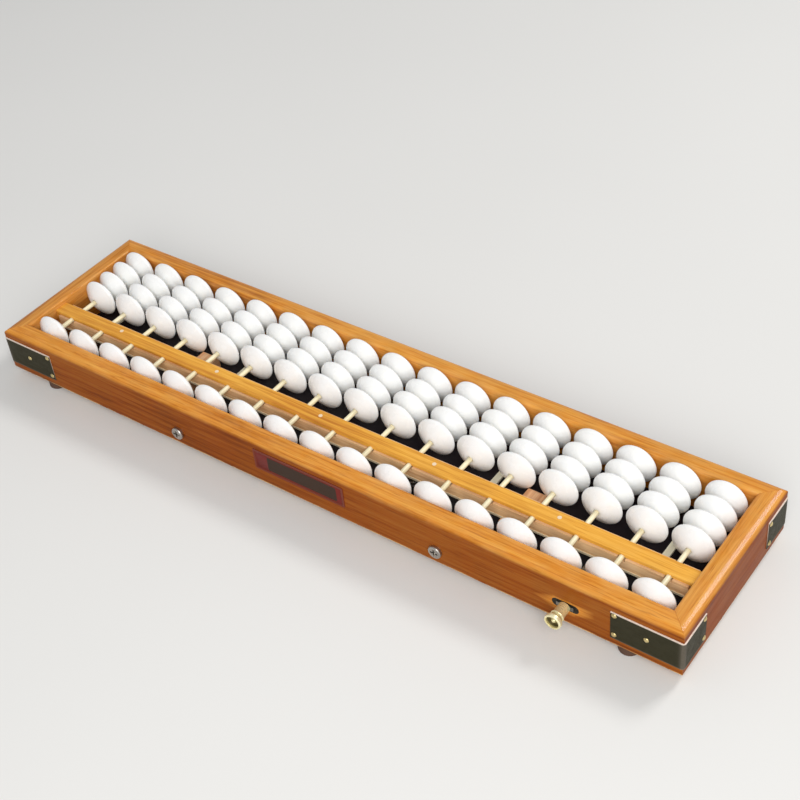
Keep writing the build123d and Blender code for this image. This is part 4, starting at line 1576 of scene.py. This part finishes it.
@dataclass
class Studio:
    """Pale floor, pale surroundings, soft lamps and the camera.

    Fields:
        floor_half: half the floor's side, in metres.
        floor_colour: its screen colour.
        floor_shade: how many steps darker its faint clouds are.
        floor_clouds, floor_roughness: those clouds, and how matt it is.
        ambient: the strength of the light from all round.
        backdrop: the brightness that the camera sees behind everything.
        ambient_colour, backdrop_colour: their linear colours.
        lamps: the soft lamps.
        camera_place: the camera's place, in metres.
        azimuth, elevation: the way that lies behind it, from +X and from level, in degrees.
        roll: its turn round that way, in degrees.
        lens, sensor: its focal length and the width of its picture, in millimetres.
        near, far: the limits of what it sees, in metres.
    """

    floor_half: float = 4.0
    floor_colour: Colour = (232, 231, 228)
    floor_shade: int = 4
    floor_clouds: Pattern = Pattern(fine=2.2)
    floor_roughness: float = 0.9
    ambient: float = 0.42
    backdrop: float = 0.86
    ambient_colour: Colour = (0.97, 0.98, 1.0)
    backdrop_colour: Colour = (1.0, 0.995, 0.985)
    lamps: Tuple[Lamp, ...] = (
        Lamp("lamp_key", (0.49, 0.94, 1.12), size=0.38, power=7.6),
        Lamp("lamp_front", (0.85, -1.02, 0.98), size=1.1, power=19.5),
    )
    camera_place: Point = (0.338292, -0.370761, 0.461354)
    azimuth: float = -50.1391
    elevation: float = 40.7676
    roll: float = -6.5242
    lens: float = 65.583
    sensor: float = 36.0
    near: float = 0.01
    far: float = 50.0

    def floor(self) -> None:
        """Lay the floor, which takes the object's shadow."""
        h = self.floor_half
        mesh = bpy.data.meshes.new("floor")
        mesh.from_pydata([(-h, -h, 0.0), (h, -h, 0.0), (h, h, 0.0), (-h, h, 0.0)], [],
                         [(0, 1, 2, 3)])
        thing = linked("floor", mesh)
        w = Weave("floor_paper")
        tone = tuple(channel - self.floor_shade for channel in self.floor_colour)
        body = w.mix(w.share(self.floor_clouds), tone, self.floor_colour)
        dress(thing, w.finish(body, Roughness=self.floor_roughness))

    def surroundings(self) -> None:
        """Set a soft even light, and a plain pale background for the camera."""
        world = bpy.data.worlds.new("surroundings")
        bpy.context.scene.world = world
        world.use_nodes = True
        nodes, links = world.node_tree.nodes, world.node_tree.links
        nodes.clear()
        output = nodes.new("ShaderNodeOutputWorld")
        blend = nodes.new("ShaderNodeMixShader")
        path = nodes.new("ShaderNodeLightPath")
        links.new(path.outputs["Is Camera Ray"], blend.inputs["Fac"])
        lights = ((self.ambient_colour, self.ambient), (self.backdrop_colour, self.backdrop))
        for number, (colour, strength) in enumerate(lights, start=1):
            light = nodes.new("ShaderNodeBackground")
            light.inputs["Color"].default_value = (*colour, 1.0)
            light.inputs["Strength"].default_value = strength
            links.new(light.outputs["Background"], blend.inputs[number])
        links.new(blend.outputs["Shader"], output.inputs["Surface"])

    def camera(self) -> None:
        """Set the camera at the photograph's angle.

        The way that lies behind it is (cos e cos a, cos e sin a, sin e) for the azimuth a and
        the elevation e.
        """
        data = bpy.data.cameras.new("camera")
        data.sensor_width = self.sensor
        data.lens = self.lens
        data.clip_start = self.near
        data.clip_end = self.far
        thing = linked("camera", data)
        a, e = math.radians(self.azimuth), math.radians(self.elevation)
        back = np.array([math.cos(e) * math.cos(a), math.cos(e) * math.sin(a), math.sin(e)])
        aim(thing, self.camera_place, back, math.radians(self.roll))
        bpy.context.scene.camera = thing

    def build(self) -> None:
        """Build the studio."""
        self.floor()
        self.surroundings()
        for lamp in self.lamps:
            lamp.build()
        self.camera()
        bpy.context.scene.view_settings.view_transform = "Standard"


def main() -> None:
    """Build the studio and every sub-assembly in order."""
    logging.basicConfig(level=logging.INFO, format="%(name)s: %(message)s")
    Studio().build()
    looks = Finishes().built()
    for assembly in (RailFrame(), BeadRows(), PullKnob(), CornerPlates(), LabelPlate(),
                     PlainNodes()):
        assembly.build(looks)
        LOG.info("built %s", type(assembly).__name__)


if __name__ == "__main__":
    main()
